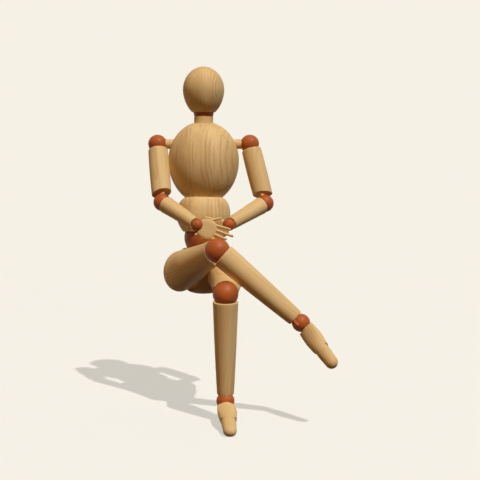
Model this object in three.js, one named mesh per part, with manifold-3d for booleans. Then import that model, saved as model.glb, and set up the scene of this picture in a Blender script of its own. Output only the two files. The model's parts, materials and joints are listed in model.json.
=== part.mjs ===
// A wooden artist mannequin, sitting with its right leg crossed over its left. Millimetres, +Z up.
// It faces -Y, so its own right side is at -X. The origin is the middle of the flat seat land
// under the pelvis. Each ball is slotted for a tongue that swings on a cross pin, and has a peg
// on its far side that turns in the next piece, so every ball bends and turns.
import * as THREE from 'three';
import { mergeVertices } from 'three/addons/utils/BufferGeometryUtils.js';
import Module from 'manifold-3d';

const wasm = await Module();
wasm.setup();

// Clearances
const gap = 0.3; // between pieces that touch, and round pins, pegs and tongues
const cupGap = 0.35; // between a ball and the cups round it
const bigCupGap = 0.45; // the same on the waist ball

// Ball radii
const neckBallR = 7.6;
const waistBallR = 14.6;
const shoulderBallR = 7.1;
const elbowBallR = 6.5;
const wristBallR = 4.5;
const hipBallR = 7;
const kneeBallR = 8.9;
const ankleBallR = 6.4;

// Distances between ball centres along the limbs
const upperArmLength = 47.6;
const forearmLength = 40.5;
const thighLength = 59.5;
const shinLength = 76.9;

// Torso
const seatLandR = 6.5;
const pelvisDepthR = 15.5;
const pelvisWidthR = 21;
const waistHeight = 42.2; // waist ball centre above the seat
const hipHeight = 17.4;
const hipSpacing = 34.4;
const hipForward = 5.5;
const abdomenFoot = 4.4; // abdomen rim above the waist ball centre
const abdomenFootR = 15.5;
const abdomenR = 20.2;
const abdomenTopR = 14.6;
const abdomenHeight = 25.6;
const abdomenSpigotR = 4;
const abdomenSpigotLength = 10;
const chestR = 26.6;
const chestDepthShare = 0.94;
const chestHeight = 55.2;
const chestFootR = 14.2;
const chestTopR = 9.6;
const chestWidest = 27.8; // widest section above the chest's foot
const shoulderDrop = 15.1; // shoulder bar below the chest's top
const shoulderReach = 8.2; // shoulder ball centre beyond the chest's widest section
const shoulderSpacing = 2 * (chestR + shoulderReach);
const shoulderBarR = 3.7;
const collarR = 7.3;
const collarHeight = 4.9;
const collarDowelR = 3.4;
const collarDowelLength = 9;
const neckRise = 8.8; // neck ball centre above the chest's top
const headR = 15.6;
const headDepthShare = 1.0;
const headTopRise = 17.7; // top of the head above its widest section
const headFall = 20.1; // below the widest section the egg would close this far down
const headTaper = 0.06; // how much narrower its lower half is than an oval
const headWidest = 16.4; // widest section above the neck ball centre
const headRim = 0.1; // head rim above the neck ball centre

// Arms: radius at each end, and how far each rim stands from its ball centre
const upperArmTopR = 7.3;
const upperArmEndR = 7.2;
const upperArmSwell = 0.3; // at its middle
const upperArmTopRim = 4.7;
const upperArmEndRim = 4.6;
const elbowSlant = 22; // degrees, the bevel that lets the elbow fold
const forearmTopR = 6.3;
const forearmEndR = 4.7;
const forearmTopRim = 4.4;
const forearmEndRim = 2.6;

// Hands
const palmRim = 2.7;
const palmHeelR = 4;
const palmHalfWidth = 6.9;
const palmLength = 13.2;
const palmThickness = 3.9;
const palmEdge = 1.2;
const fingerR = 1;
const fingerSeat = 4;
const fingerPitch = 2.8;
const fingerSplay = 4; // degrees between neighbours
const fingerLengths = [15.2, 16.8, 13.3, 7.8]; // index to little
const thumbLength = 14.5;
const thumbAngle = 33;
const thumbSeat = 3.2;

// Legs
const thighRootR = 15.6;
const thighRootHalfWidth = 12.2;
const thighRootBlend = 22;
const thighHollow = 0.4; // how far its sides dip between root and knee
const thighEndR = 8.9;
const thighEndRim = 8.8;
const thighEndRound = 3;
const hipMouthR = 10.4;
const shinTopR = 8.8;
const shinEndR = 6;
const shinTopRim = 5.1;
const shinEndRim = 3.6;
const shinSwell = 0.2; // at its middle
const footRim = 3.5;
const footSlant = 14; // degrees, lets the ankle fold
const footStartR = 5.7;
const footHalfWidth = 6.7;
const footWidest = 15;
const soleDrop = 4.7; // flat sole below the foot's axis
const toeHinge = 28.5;
const toeHingeR = 4.3;
const toeHalfWidth = 5;
const toeHalfHeight = 4.2;
const footLength = 41;

// Tongues, slots, pins and pegs: half thickness, eye radius, reach of the tongue to the front
// and to the back of its eye centre, pin radius, peg radius and length
const joinery = {
  neck: { half: 1.6, eye: 2.6, front: 2.6, back: 2.6, pin: 1.2, peg: 2.6, pegLength: 10 },
  waist: { half: 2.4, eye: 4.6, front: 4.6, back: 4.6, pin: 2, peg: 4, pegLength: 11 },
  shoulder: { half: 1.3, eye: 2.2, front: 2.2, back: 2.2, pin: 1, peg: 2, pegLength: 8 },
  elbow: { half: 1.2, eye: 2.1, front: 2.1, back: 0.9, pin: 0.9, peg: 1.8, pegLength: 9 },
  wrist: { half: 0.8, eye: 1.5, front: 0.7, back: 1.5, pin: 0.6, peg: 1.2, pegLength: 4.5 },
  hip: { half: 1.5, eye: 2.4, front: 2.4, back: 2.4, pin: 1.1, peg: 2.4, pegLength: 8.5 },
  knee: { half: 1.6, eye: 2.8, front: 0.9, back: 2.8, pin: 1.2, peg: 2.6, pegLength: 12 },
  ankle: { half: 1.2, eye: 2.1, front: 2.1, back: 0.9, pin: 0.9, peg: 1.8, pegLength: 7 },
  toe: { half: 1.2, eye: 2, front: 2, back: 2, pin: 0.8 },
};
const hangerShankLength = 14;

// How far each slot lets its tongue swing, in degrees from straight, back (+) or forward (-)
const sweep = {
  neck: [-25, 25],
  waist: [-30, 30],
  shoulder: [-16, 96],
  elbow: [-108, 0],
  wrist: [0, 60],
  hip: [-34, 34],
  knee: [0, 106],
  ankle: [-110, 0],
  toe: [-35, 35],
};

// The seated pose. Angles are in degrees. An arm is given by where its wrist rests, how far its
// elbow is swivelled round the line from shoulder to wrist, and where its hand points and faces
const waistBend = -4.6;
const headNod = 6;
const pose = {
  right: {
    side: -1,
    arm: { wrist: [-3.2, -40.4, 54.2], swivel: 39.8, fingers: [0.92, -0.16, -0.35], back: [0, -1, 0.12] },
    leg: { swing: -112.2, spread: -29.0, turn: -49.9, knee: 77.6, roll: -52.0, ankle: -30.0 },
  },
  left: {
    side: 1,
    arm: { wrist: [19.5, -35.6, 54.2], swivel: -34.9, fingers: [-0.88, 0.29, -0.36], back: [0, -1, 0] },
    leg: { swing: -80.9, spread: -0.2, turn: 0.2, knee: 85.9, roll: 5.5, ankle: -76.4 },
  },
};

// Roundness: sides of each kind of round form
const bodySides = 20;
const waistBallSides = 18;
const limbSides = 14;
const armSides = 12;
const ballSides = 12;
const cupSides = 16; // finer than its ball, so that the ball turns freely
const pegSides = 9;
const eyeSides = 10;
const barSides = 12;
const recessSides = 20;
const smallSides = 8;
const fingerSides = 6;

const beech = { color: 0xc9a572, roughness: 0.5, metalness: 0 };
const stained = { color: 0x9a4a20, roughness: 0.38, metalness: 0 };
const steel = { color: 0xb4b6b8, roughness: 0.35, metalness: 1 };

// A closed geometry becomes a solid for cutting and joining
function solid(geometry) {
  const bare = geometry.clone();
  bare.deleteAttribute('normal');
  bare.deleteAttribute('uv');
  const merged = mergeVertices(bare, 1e-4);
  return new wasm.Manifold(new wasm.Mesh({
    numProp: 3,
    vertProperties: new Float32Array(merged.attributes.position.array),
    triVerts: new Uint32Array(merged.index.array),
  }));
}

function mesh(name, body, finish) {
  const result = body.getMesh();
  const geometry = new THREE.BufferGeometry();
  geometry.setAttribute('position', new THREE.BufferAttribute(new Float32Array(result.vertProperties), 3));
  geometry.setIndex(new THREE.BufferAttribute(new Uint32Array(result.triVerts), 1));
  geometry.computeVertexNormals();
  const piece = new THREE.Mesh(geometry, new THREE.MeshStandardMaterial(finish));
  piece.name = name;
  return piece;
}

const radians = (degrees) => THREE.MathUtils.degToRad(degrees);

// A turned form: radius and height pairs from bottom to top, on the Z axis, squeezed on demand
function turned(points, sides, squeeze, matrix) {
  const geometry = new THREE.LatheGeometry(points.map(([r, z]) => new THREE.Vector2(r, z)), sides);
  geometry.rotateX(Math.PI / 2);
  if (squeeze) {
    const place = geometry.attributes.position;
    for (let i = 0; i < place.count; i += 1) {
      const [x, y] = squeeze(place.getX(i), place.getY(i), place.getZ(i));
      place.setXY(i, x, y);
    }
  }
  if (matrix) geometry.applyMatrix4(matrix);
  return solid(geometry);
}

function sphereShape(radius, sides) {
  const geometry = new THREE.SphereGeometry(radius, sides, Math.round(sides / 2));
  geometry.rotateX(Math.PI / 2);
  return geometry;
}

function sphere(radius, sides = ballSides) {
  return solid(sphereShape(radius, sides));
}

function moved(geometry, x, y, z) {
  geometry.translate(x, y, z);
  return geometry;
}

// A round bar on the Z axis from low to high
function bar(radius, low, high, sides = smallSides) {
  const geometry = new THREE.CylinderGeometry(radius, radius, high - low, sides);
  geometry.rotateX(Math.PI / 2);
  geometry.translate(0, 0, (low + high) / 2);
  return solid(geometry);
}

// A round bar on the X axis from low to high
function crossBarShape(radius, low, high, sides) {
  const geometry = new THREE.CylinderGeometry(radius, radius, high - low, sides);
  geometry.rotateZ(-Math.PI / 2);
  return moved(geometry, (low + high) / 2, 0, 0);
}

function crossBar(radius, low, high, sides = smallSides) {
  return solid(crossBarShape(radius, low, high, sides));
}

function block(low, high) {
  const size = high.map((value, i) => value - low[i]);
  const geometry = new THREE.BoxGeometry(...size);
  geometry.translate(...low.map((value, i) => value + size[i] / 2));
  return solid(geometry);
}

// Points of a rounded corner, from angle to angle, for a turned profile
function corner(r, z, radius, from, to, steps = 2) {
  const points = [];
  for (let i = 0; i <= steps; i += 1) {
    const angle = radians(from + ((to - from) * i) / steps);
    points.push([r + radius * Math.cos(angle), z + radius * Math.sin(angle)]);
  }
  return points;
}

// A limb shaft hanging down -Z: from -top to -bottom, with rounded ends and a slight swell
function shaft([top, bottom], [topR, endR], swell, sides) {
  const round = 0.6;
  const middle = (topR + endR) / 2 + swell;
  return turned([
    [0, -bottom],
    ...corner(endR - round, -bottom + round, round, -90, 0),
    [middle, -(top + bottom) / 2],
    ...corner(topR - round, -top - round, round, 0, 90),
    [0, -top],
  ], sides);
}

// The slot for a tongue that comes from +Z and swings about X between two angles
function slot({ half, eye, front, back }, [from, to], reach) {
  const outline = new THREE.Shape();
  const edge = (angle, out, along) => {
    const a = radians(angle);
    return [Math.sin(a) * along + Math.cos(a) * out, Math.cos(a) * along - Math.sin(a) * out];
  };
  outline.moveTo(...edge(from, -front - gap, 0));
  outline.lineTo(...edge(from, -front - gap, reach));
  const steps = Math.max(1, Math.ceil((to - from) / 45));
  for (let i = 0; i <= steps; i += 1) {
    outline.lineTo(...edge(from + ((to - from) * i) / steps, 0, reach * 1.15));
  }
  outline.lineTo(...edge(to, back + gap, reach));
  outline.lineTo(...edge(to, back + gap, 0));
  const wide = 2 * (half + gap);
  const geometry = new THREE.ExtrudeGeometry(outline, { depth: wide, bevelEnabled: false });
  geometry.translate(0, 0, -wide / 2);
  geometry.applyMatrix4(new THREE.Matrix4().set(0, 0, 1, 0, 1, 0, 0, 0, 0, 1, 0, 0, 0, 0, 0, 1));
  return solid(geometry).add(crossBar(eye + gap, -wide / 2, wide / 2, eyeSides));
}

// A tongue from a limb to the eye at the ball centre, with the eye at height z
function tongue({ half, eye, front, back }, z, rise) {
  const eyeRing = moved(crossBarShape(eye, -half, half, eyeSides), 0, 0, z);
  const low = Math.min(z, z + rise);
  const high = Math.max(z, z + rise);
  return solid(eyeRing).add(block([-half, -front, low], [half, back, high]));
}

function pinHole({ half, pin }, z) {
  return solid(moved(crossBarShape(pin + gap, -half - gap, half + gap, smallSides), 0, 0, z));
}

// Short pins turned on the sides of a tongue, where a loose pin would be too small
function trunnion({ pin }, z, halfLength) {
  return solid(moved(crossBarShape(pin, -halfLength, halfLength, smallSides), 0, 0, z));
}

// Wood left between a cross pin and the face of its ball
const pinCover = 1;

// A ball with a slot for the tongue above it and blind holes for its cross pin
function slottedBall(radius, fit, swing) {
  const sides = radius === waistBallR ? waistBallSides : ballSides;
  const reach = radius - pinCover;
  return sphere(radius, sides)
    .subtract(slot(fit, swing, radius))
    .subtract(crossBar(fit.pin + gap, -reach, reach));
}

// The usual ball: its peg points down, away from the slot
function jointBall(radius, fit, swing) {
  return slottedBall(radius, fit, swing)
    .add(bar(fit.peg, -radius - fit.pegLength, -radius + 1.2, pegSides));
}

// A ball that turns on a peg to its inner side, which is -Y here, as a shoulder or hip does
function sideBall(radius, fit, swing) {
  const geometry = new THREE.CylinderGeometry(fit.peg, fit.peg, fit.pegLength + 1.2, pegSides);
  geometry.translate(0, -radius - (fit.pegLength - 1.2) / 2, 0);
  return slottedBall(radius, fit, swing).add(solid(geometry));
}

function crossPin(radius, fit) {
  const reach = radius - pinCover - gap;
  return crossBar(fit.pin, -reach, reach);
}

function cup(radius, z, clearance = cupGap, sides = cupSides) {
  return solid(moved(sphereShape(radius + clearance, sides), 0, 0, z));
}

// The hole that a peg or shank turns in, from its blind end up to its mouth
function pegHole(radius, low, high) {
  return bar(radius + gap, low, high, pegSides);
}

function at(parent, [x, y, z], turn = {}) {
  const group = new THREE.Group();
  group.position.set(x, y, z);
  group.rotation.set(radians(turn.x || 0), radians(turn.y || 0), radians(turn.z || 0));
  parent.add(group);
  return group;
}

// A frame whose +Z runs down the limb, +Y to the outer side and X from back to front or reverse
function sideFrame(parent, side) {
  const group = new THREE.Group();
  const basis = new THREE.Matrix4().makeBasis(
    new THREE.Vector3(0, side, 0), new THREE.Vector3(side, 0, 0), new THREE.Vector3(0, 0, -1));
  group.setRotationFromMatrix(basis);
  parent.add(group);
  return group;
}

const object = new THREE.Group();

// Pelvis: the root, with the seat land below, hip bowls at the sides and a cup above
const pelvis = at(object, [0, 0, 0]);
const pelvisRimHeight = 33.8;
const hipBossR = 3.4;
// Radius and reach toward the middle of the recess that a thigh root swings in
const hipInner = thighRootHalfWidth + 1.1;
const hipOuterR = thighRootR + bigCupGap;
const hipRecess = [
  [0, -thighRootR],
  [hipOuterR, -thighRootR],
  [hipOuterR, 6],
  [hipOuterR * 0.95, 9],
  [hipOuterR * 0.86, hipInner - 1.6],
  [hipOuterR * 0.74, hipInner],
  [0, hipInner],
];
// How far forward (swing) and inward (spread) a crossing thigh comes, for the relief in front
const crossingSwings = [-106, -119];
const crossingSpread = 30;

// The outside of a thigh, grown on demand, with +Z down the leg and +Y to the outer side
function thighOutline(grow = 0, matrix = new THREE.Matrix4()) {
  const end = thighLength - thighEndRim;
  const root = thighRootR + grow;
  const last = thighEndR + grow;
  const points = [];
  for (let i = 0; i <= 4; i += 1) {
    const angle = -Math.PI / 2 + (Math.PI / 2) * (i / 4);
    points.push([root * Math.cos(angle), root * Math.sin(angle)]);
  }
  points[0][0] = 0;
  for (const share of [0.25, 0.5, 0.75]) {
    const hollow = thighHollow * Math.sin(Math.PI * share);
    points.push([THREE.MathUtils.lerp(root, last, share) - hollow, end * share]);
  }
  points.push(...corner(last - thighEndRound, end - thighEndRound, thighEndRound, 0, 90), [0, end]);
  const flat = thighRootR - thighRootHalfWidth;
  return turned(points, limbSides, (x, y, z) => {
    const blend = 1 - THREE.MathUtils.smoothstep(z, 0, thighRootBlend);
    const full = THREE.MathUtils.lerp(root, last, Math.max(0, z / end));
    return [x, y * (1 - (flat * blend) / full)];
  }, matrix);
}

function pelvisBody() {
  const depthShare = pelvisDepthR / pelvisWidthR;
  const squeeze = (x, y, z) => {
    const share = THREE.MathUtils.smoothstep(z, hipHeight, pelvisRimHeight);
    return [x, y * THREE.MathUtils.lerp(depthShare, 1, share)];
  };
  const profile = [
    [0, 0],
    [seatLandR, 0],
    [pelvisWidthR * 0.55, pelvisRimHeight * 0.05],
    [pelvisWidthR * 0.79, pelvisRimHeight * 0.18],
    [pelvisWidthR * 0.94, pelvisRimHeight * 0.36],
    [pelvisWidthR, pelvisRimHeight * 0.56],
    [pelvisWidthR * 0.96, pelvisRimHeight * 0.76],
    [pelvisWidthR * 0.85, pelvisRimHeight * 0.93],
    [abdomenFootR, pelvisRimHeight],
    [0, pelvisRimHeight],
  ];
  let body = turned(profile, bodySides, squeeze);
  for (const side of [-1, 1]) {
    const drum = new THREE.LatheGeometry(hipRecess.map(([r, x]) => new THREE.Vector2(r, x)), recessSides);
    drum.rotateZ(side * Math.PI / 2);
    body = body.subtract(solid(moved(drum, (side * hipSpacing) / 2, -hipForward, hipHeight)));
  }
  const bossReach = hipSpacing / 2 - hipBallR - cupGap - gap;
  const boss = crossBarShape(hipBossR, -bossReach, bossReach, smallSides);
  body = body.add(solid(moved(boss, 0, -hipForward, hipHeight)));
  for (const side of [-1, 1]) {
    for (const swing of crossingSwings) {
      const place = new THREE.Object3D();
      place.position.set((side * hipSpacing) / 2, -hipForward, hipHeight);
      place.rotation.set(radians(swing), radians(side * crossingSpread), 0);
      const frame = sideFrame(place, side);
      place.updateMatrixWorld(true);
      body = body.subtract(thighOutline(0.7, frame.matrixWorld));
    }
  }
  const pegTip = hipSpacing / 2 - hipBallR - joinery.hip.pegLength - gap;
  for (const [low, high] of [[-bossReach - 1, -pegTip], [pegTip, bossReach + 1]]) {
    const hole = crossBarShape(joinery.hip.peg + gap, low, high, smallSides);
    body = body.subtract(solid(moved(hole, 0, -hipForward, hipHeight)));
  }
  body = body.subtract(cup(waistBallR, waistHeight, bigCupGap, bodySides));
  body = body.add(tongue(joinery.waist, waistHeight, -waistBallR - 3));
  return body.subtract(pinHole(joinery.waist, waistHeight));
}
pelvis.add(mesh('pelvis', pelvisBody(), beech));

// Waist ball: leans on the pelvis tongue, and the abdomen turns on its peg
const waist = at(pelvis, [0, 0, waistHeight], { x: waistBend });
const waistFlip = at(waist, [0, 0, 0], { x: 180 });
waistFlip.add(mesh('waist_ball', jointBall(waistBallR, joinery.waist, sweep.waist), stained));
waistFlip.add(mesh('waist_pin', crossPin(waistBallR, joinery.waist), steel));

const abdomenTop = abdomenFoot + abdomenHeight;

function abdomenBody() {
  const rise = (share) => abdomenFoot + abdomenHeight * share;
  const profile = [
    [0, rise(0)],
    [abdomenFootR, rise(0)],
    [abdomenR * 0.88, rise(0.13)],
    [abdomenR * 0.97, rise(0.29)],
    [abdomenR, rise(0.45)],
    [abdomenR * 0.985, rise(0.62)],
    [abdomenR * 0.935, rise(0.79)],
    [abdomenR * 0.85, rise(0.91)],
    [abdomenTopR * 1.05, rise(0.975)],
    [abdomenTopR, rise(1)],
    [0, rise(1)],
  ];
  return turned(profile, bodySides)
    .subtract(cup(waistBallR, 0, bigCupGap, bodySides))
    .subtract(pegHole(joinery.waist.peg, 0, waistBallR + joinery.waist.pegLength + gap))
    .add(bar(abdomenSpigotR, abdomenTop - 1, abdomenTop + abdomenSpigotLength, barSides));
}
const abdomen = at(waist, [0, 0, 0]);
abdomen.add(mesh('abdomen', abdomenBody(), beech));

// Chest: an egg on the abdomen's spigot, bored across for the shoulder bar
const chest = at(abdomen, [0, 0, abdomenTop + gap]);
const shoulderHeight = chestHeight - shoulderDrop;

// Rings of an oval from its foot to its top, with a widest section between
function ovalProfile(radius, footR, topR, widest, height, steps) {
  const below = widest / Math.sqrt(1 - (footR / radius) ** 2);
  const above = (height - widest) / Math.sqrt(1 - (topR / radius) ** 2);
  const lowAngle = -Math.asin(widest / below);
  const highAngle = Math.asin((height - widest) / above);
  const points = [[0, 0]];
  for (let i = 0; i <= steps; i += 1) {
    const angle = lowAngle + ((highAngle - lowAngle) * i) / steps;
    const semi = angle < 0 ? below : above;
    points.push([radius * Math.cos(angle), widest + semi * Math.sin(angle)]);
  }
  points.push([0, height]);
  return points;
}

function chestBody() {
  const profile = ovalProfile(chestR, chestFootR, chestTopR, chestWidest, chestHeight, 9);
  const barHole = crossBarShape(shoulderBarR + gap, -chestR - 2, chestR + 2, barSides);
  return turned(profile, bodySides, (x, y) => [x, y * chestDepthShare])
    .subtract(solid(moved(barHole, 0, 0, shoulderHeight)))
    .subtract(bar(abdomenSpigotR + gap, -1, abdomenSpigotLength + gap, barSides))
    .subtract(bar(collarDowelR + gap, chestHeight - collarDowelLength - gap, chestHeight + 1));
}
chest.add(mesh('chest', chestBody(), beech));

function shoulderBarBody() {
  const reach = shoulderSpacing / 2 - shoulderBallR / 2;
  const blind = shoulderSpacing / 2 - shoulderBallR - joinery.shoulder.pegLength - gap;
  const holeR = joinery.shoulder.peg + gap;
  let body = crossBar(shoulderBarR, -reach, reach, barSides)
    .subtract(crossBar(holeR, -reach, -blind))
    .subtract(crossBar(holeR, blind, reach));
  for (const side of [-1, 1]) {
    const ball = sphereShape(shoulderBallR + cupGap, cupSides);
    body = body.subtract(solid(moved(ball, (side * shoulderSpacing) / 2, 0, 0)));
  }
  return body;
}
const shoulderLine = at(chest, [0, 0, shoulderHeight]);
shoulderLine.add(mesh('shoulder_bar', shoulderBarBody(), beech));

// Neck collar, its ball and the head
const collar = at(chest, [0, 0, chestHeight + gap]);

function collarBody() {
  const ballRise = neckRise - gap;
  const profile = [
    [0, 0],
    [collarR, 0],
    [collarR * 0.985, collarHeight / 2],
    [collarR, collarHeight],
    [0, collarHeight],
  ];
  return turned(profile, limbSides)
    .add(bar(collarDowelR, -collarDowelLength, 1))
    .subtract(cup(neckBallR, ballRise))
    .add(tongue(joinery.neck, ballRise, -neckBallR - 2))
    .subtract(pinHole(joinery.neck, ballRise));
}
collar.add(mesh('neck', collarBody(), beech));

const nod = at(chest, [0, 0, chestHeight + neckRise], { x: headNod });
const nodFlip = at(nod, [0, 0, 0], { x: 180 });
nodFlip.add(mesh('neck_ball', jointBall(neckBallR, joinery.neck, sweep.neck), stained));
nodFlip.add(mesh('neck_pin', crossPin(neckBallR, joinery.neck), steel));

// The head is an egg with its narrow end down
function headBody() {
  const lowest = -Math.asin((headWidest - headRim) / headFall);
  const points = [[0, headRim]];
  const steps = 9;
  for (let i = 0; i <= steps; i += 1) {
    const angle = lowest + ((Math.PI / 2 - lowest) * i) / steps;
    const height = angle < 0 ? headFall : headTopRise;
    const narrow = angle < 0 ? 1 + headTaper * Math.sin(angle) : 1;
    points.push([headR * Math.cos(angle) * narrow, headWidest + height * Math.sin(angle)]);
  }
  points[points.length - 1][0] = 0;
  return turned(points, bodySides, (x, y) => [x, y * headDepthShare])
    .subtract(cup(neckBallR, 0))
    .subtract(pegHole(joinery.neck.peg, 0, neckBallR + joinery.neck.pegLength + gap));
}
const head = at(nod, [0, 0, 0]);
head.add(mesh('head', headBody(), beech));

// What a slanted cut takes off a limb's lower (-1) or upper (1) end, from the rim at +Y
// further into the limb towards -Y
function bevel(radius, z, slant, end) {
  const geometry = new THREE.BoxGeometry(4 * radius, 8 * radius, 4 * radius);
  geometry.translate(0, -3 * radius, end * 2 * radius);
  geometry.rotateX(radians(end * slant));
  return solid(moved(geometry, 0, radius, z));
}

// A steel eye on a round shank that turns in the bore of the next limb
function hanger(radius, fit) {
  const rise = radius - 0.6;
  return tongue(fit, 0, rise)
    .add(bar(fit.half, rise - 1, radius + hangerShankLength))
    .subtract(pinHole(fit, 0));
}

function upperArmBody() {
  const elbow = -upperArmLength;
  const ends = [upperArmTopRim, upperArmLength - upperArmEndRim];
  return shaft(ends, [upperArmTopR, upperArmEndR], upperArmSwell, armSides)
    .subtract(cup(shoulderBallR, 0))
    .subtract(pegHole(joinery.shoulder.half, -shoulderBallR - hangerShankLength - gap, -upperArmTopRim))
    .subtract(cup(elbowBallR, elbow))
    .subtract(bevel(upperArmEndR, elbow + upperArmEndRim, elbowSlant, -1))
    .add(tongue(joinery.elbow, elbow, elbowBallR + 3))
    .subtract(pinHole(joinery.elbow, elbow));
}

function forearmBody() {
  const wrist = -forearmLength;
  const ends = [forearmTopRim, forearmLength - forearmEndRim];
  return shaft(ends, [forearmTopR, forearmEndR], 0, armSides)
    .subtract(cup(elbowBallR, 0))
    .subtract(pegHole(joinery.elbow.peg, -elbowBallR - joinery.elbow.pegLength - gap, -forearmTopRim))
    .subtract(cup(wristBallR, wrist))
    .add(tongue(joinery.wrist, wrist, wristBallR + 2))
    .add(trunnion(joinery.wrist, wrist, wristBallR - pinCover - gap));
}

// Where each finger of a hand is seated in its palm, and how far it leans out
const palmFront = palmRim + palmLength;
function fingerPlaces(side) {
  const places = fingerLengths.map((length, i) => {
    const place = side * (i - (fingerLengths.length - 1) / 2);
    const x = place * fingerPitch;
    const drawnBack = 0.11 * x * x;
    return { length, x, z: -(palmFront - drawnBack - fingerSeat), lean: place * fingerSplay };
  });
  places.push({ length: thumbLength, x: -side * thumbSeat, z: -palmRim - 0.9, lean: -side * thumbAngle });
  return places;
}

// A straight rod with a round tip, running down -Z
function rod(radius, length) {
  const points = [[0, -length]];
  for (const angle of [-55, -20]) {
    points.push([radius * Math.cos(radians(angle)), -length + radius + radius * Math.sin(radians(angle))]);
  }
  points.push([radius, 0], [0, 0]);
  return turned(points, fingerSides);
}

function rodHole({ x, z, lean, length }) {
  const geometry = new THREE.CylinderGeometry(fingerR + gap, fingerR + gap, length + gap, fingerSides);
  geometry.rotateX(Math.PI / 2);
  geometry.translate(0, 0, gap - (length + gap) / 2);
  geometry.rotateY(-radians(lean));
  return solid(moved(geometry, x, 0, z));
}

function palmBody(side) {
  const outline = new THREE.Shape();
  const widest = -palmRim - palmLength * 0.5;
  outline.moveTo(-palmHeelR, -palmRim);
  outline.lineTo(palmHeelR, -palmRim);
  outline.bezierCurveTo(palmHeelR + 2, -palmRim - 1, palmHalfWidth, widest + 4, palmHalfWidth, widest);
  outline.bezierCurveTo(palmHalfWidth, widest - 4, 4.4, -palmFront, 0, -palmFront);
  outline.bezierCurveTo(-4.4, -palmFront, -palmHalfWidth, widest - 4, -palmHalfWidth, widest);
  outline.bezierCurveTo(-palmHalfWidth, widest + 4, -palmHeelR - 2, -palmRim - 1, -palmHeelR, -palmRim);
  const geometry = new THREE.ExtrudeGeometry(outline, {
    depth: palmThickness - 2 * palmEdge,
    curveSegments: 3,
    bevelThickness: palmEdge,
    bevelSize: palmEdge,
    bevelOffset: -palmEdge,
    bevelSegments: 1,
  });
  geometry.translate(0, 0, -(palmThickness - 2 * palmEdge) / 2);
  geometry.rotateX(Math.PI / 2);
  let body = solid(geometry)
    .subtract(cup(wristBallR, 0))
    .subtract(pegHole(joinery.wrist.peg, -wristBallR - joinery.wrist.pegLength - gap, -palmRim));
  for (const place of fingerPlaces(side)) {
    body = body.subtract(rodHole(place));
  }
  return body;
}

const fingerNames = ['index_finger', 'middle_finger', 'ring_finger', 'little_finger', 'thumb'];

function addHand(parent, name, side) {
  parent.add(mesh(`${name}_palm`, palmBody(side), beech));
  fingerPlaces(side).forEach((place, i) => {
    const seat = at(parent, [place.x, 0, place.z], { y: -place.lean });
    seat.add(mesh(`${name}_${fingerNames[i]}`, rod(fingerR, place.length), beech));
  });
}

// The joint angles, in degrees, that bring an arm's wrist and hand to where the pose wants them
function armAngles(side, { wrist, swivel, fingers, back }) {
  const degrees = (angle) => THREE.MathUtils.radToDeg(angle);
  const turnX = (angle) => new THREE.Matrix4().makeRotationX(angle);
  const torso = turnX(radians(waistBend));
  const shoulder = new THREE.Vector3((side * shoulderSpacing) / 2, 0, abdomenTop + gap + shoulderHeight)
    .applyMatrix4(torso)
    .add(new THREE.Vector3(0, 0, waistHeight));
  const line = new THREE.Vector3(...wrist).sub(shoulder);
  const span = Math.min(line.length(), 0.98 * (upperArmLength + forearmLength));
  line.normalize();
  const along = (upperArmLength ** 2 - forearmLength ** 2 + span ** 2) / (2 * span);
  const out = Math.sqrt(upperArmLength ** 2 - along ** 2);
  const outward = new THREE.Vector3(side, 0, 0)
    .projectOnPlane(line)
    .normalize()
    .applyAxisAngle(line, radians(swivel));
  const upper = line.clone().multiplyScalar(along).addScaledVector(outward, out);
  const fore = line.clone().multiplyScalar(span).sub(upper);
  upper.transformDirection(torso.clone().invert());
  const swing = Math.atan2(upper.y, -upper.z);
  const lift = -Math.asin(upper.x);
  const frame = torso.multiply(turnX(swing)).multiply(new THREE.Matrix4().makeRotationY(lift));
  fore.transformDirection(frame.clone().invert());
  const turn = Math.atan2(fore.x, -fore.y);
  const elbow = -Math.acos(-fore.z);
  frame.multiply(new THREE.Matrix4().makeRotationZ(turn)).multiply(turnX(elbow));
  const handZ = new THREE.Vector3(...fingers).negate().normalize();
  const handY = new THREE.Vector3(...back).negate().projectOnPlane(handZ).normalize();
  const handX = handY.clone().cross(handZ);
  const hand = frame.invert().multiply(new THREE.Matrix4().makeBasis(handX, handY, handZ)).elements;
  return {
    swing: degrees(swing),
    lift: degrees(lift),
    turn: degrees(turn),
    elbow: degrees(elbow),
    roll: degrees(Math.atan2(hand[8], -hand[9])),
    wrist: degrees(Math.acos(hand[10])),
    hand: degrees(Math.atan2(hand[2], hand[6])),
  };
}

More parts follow.
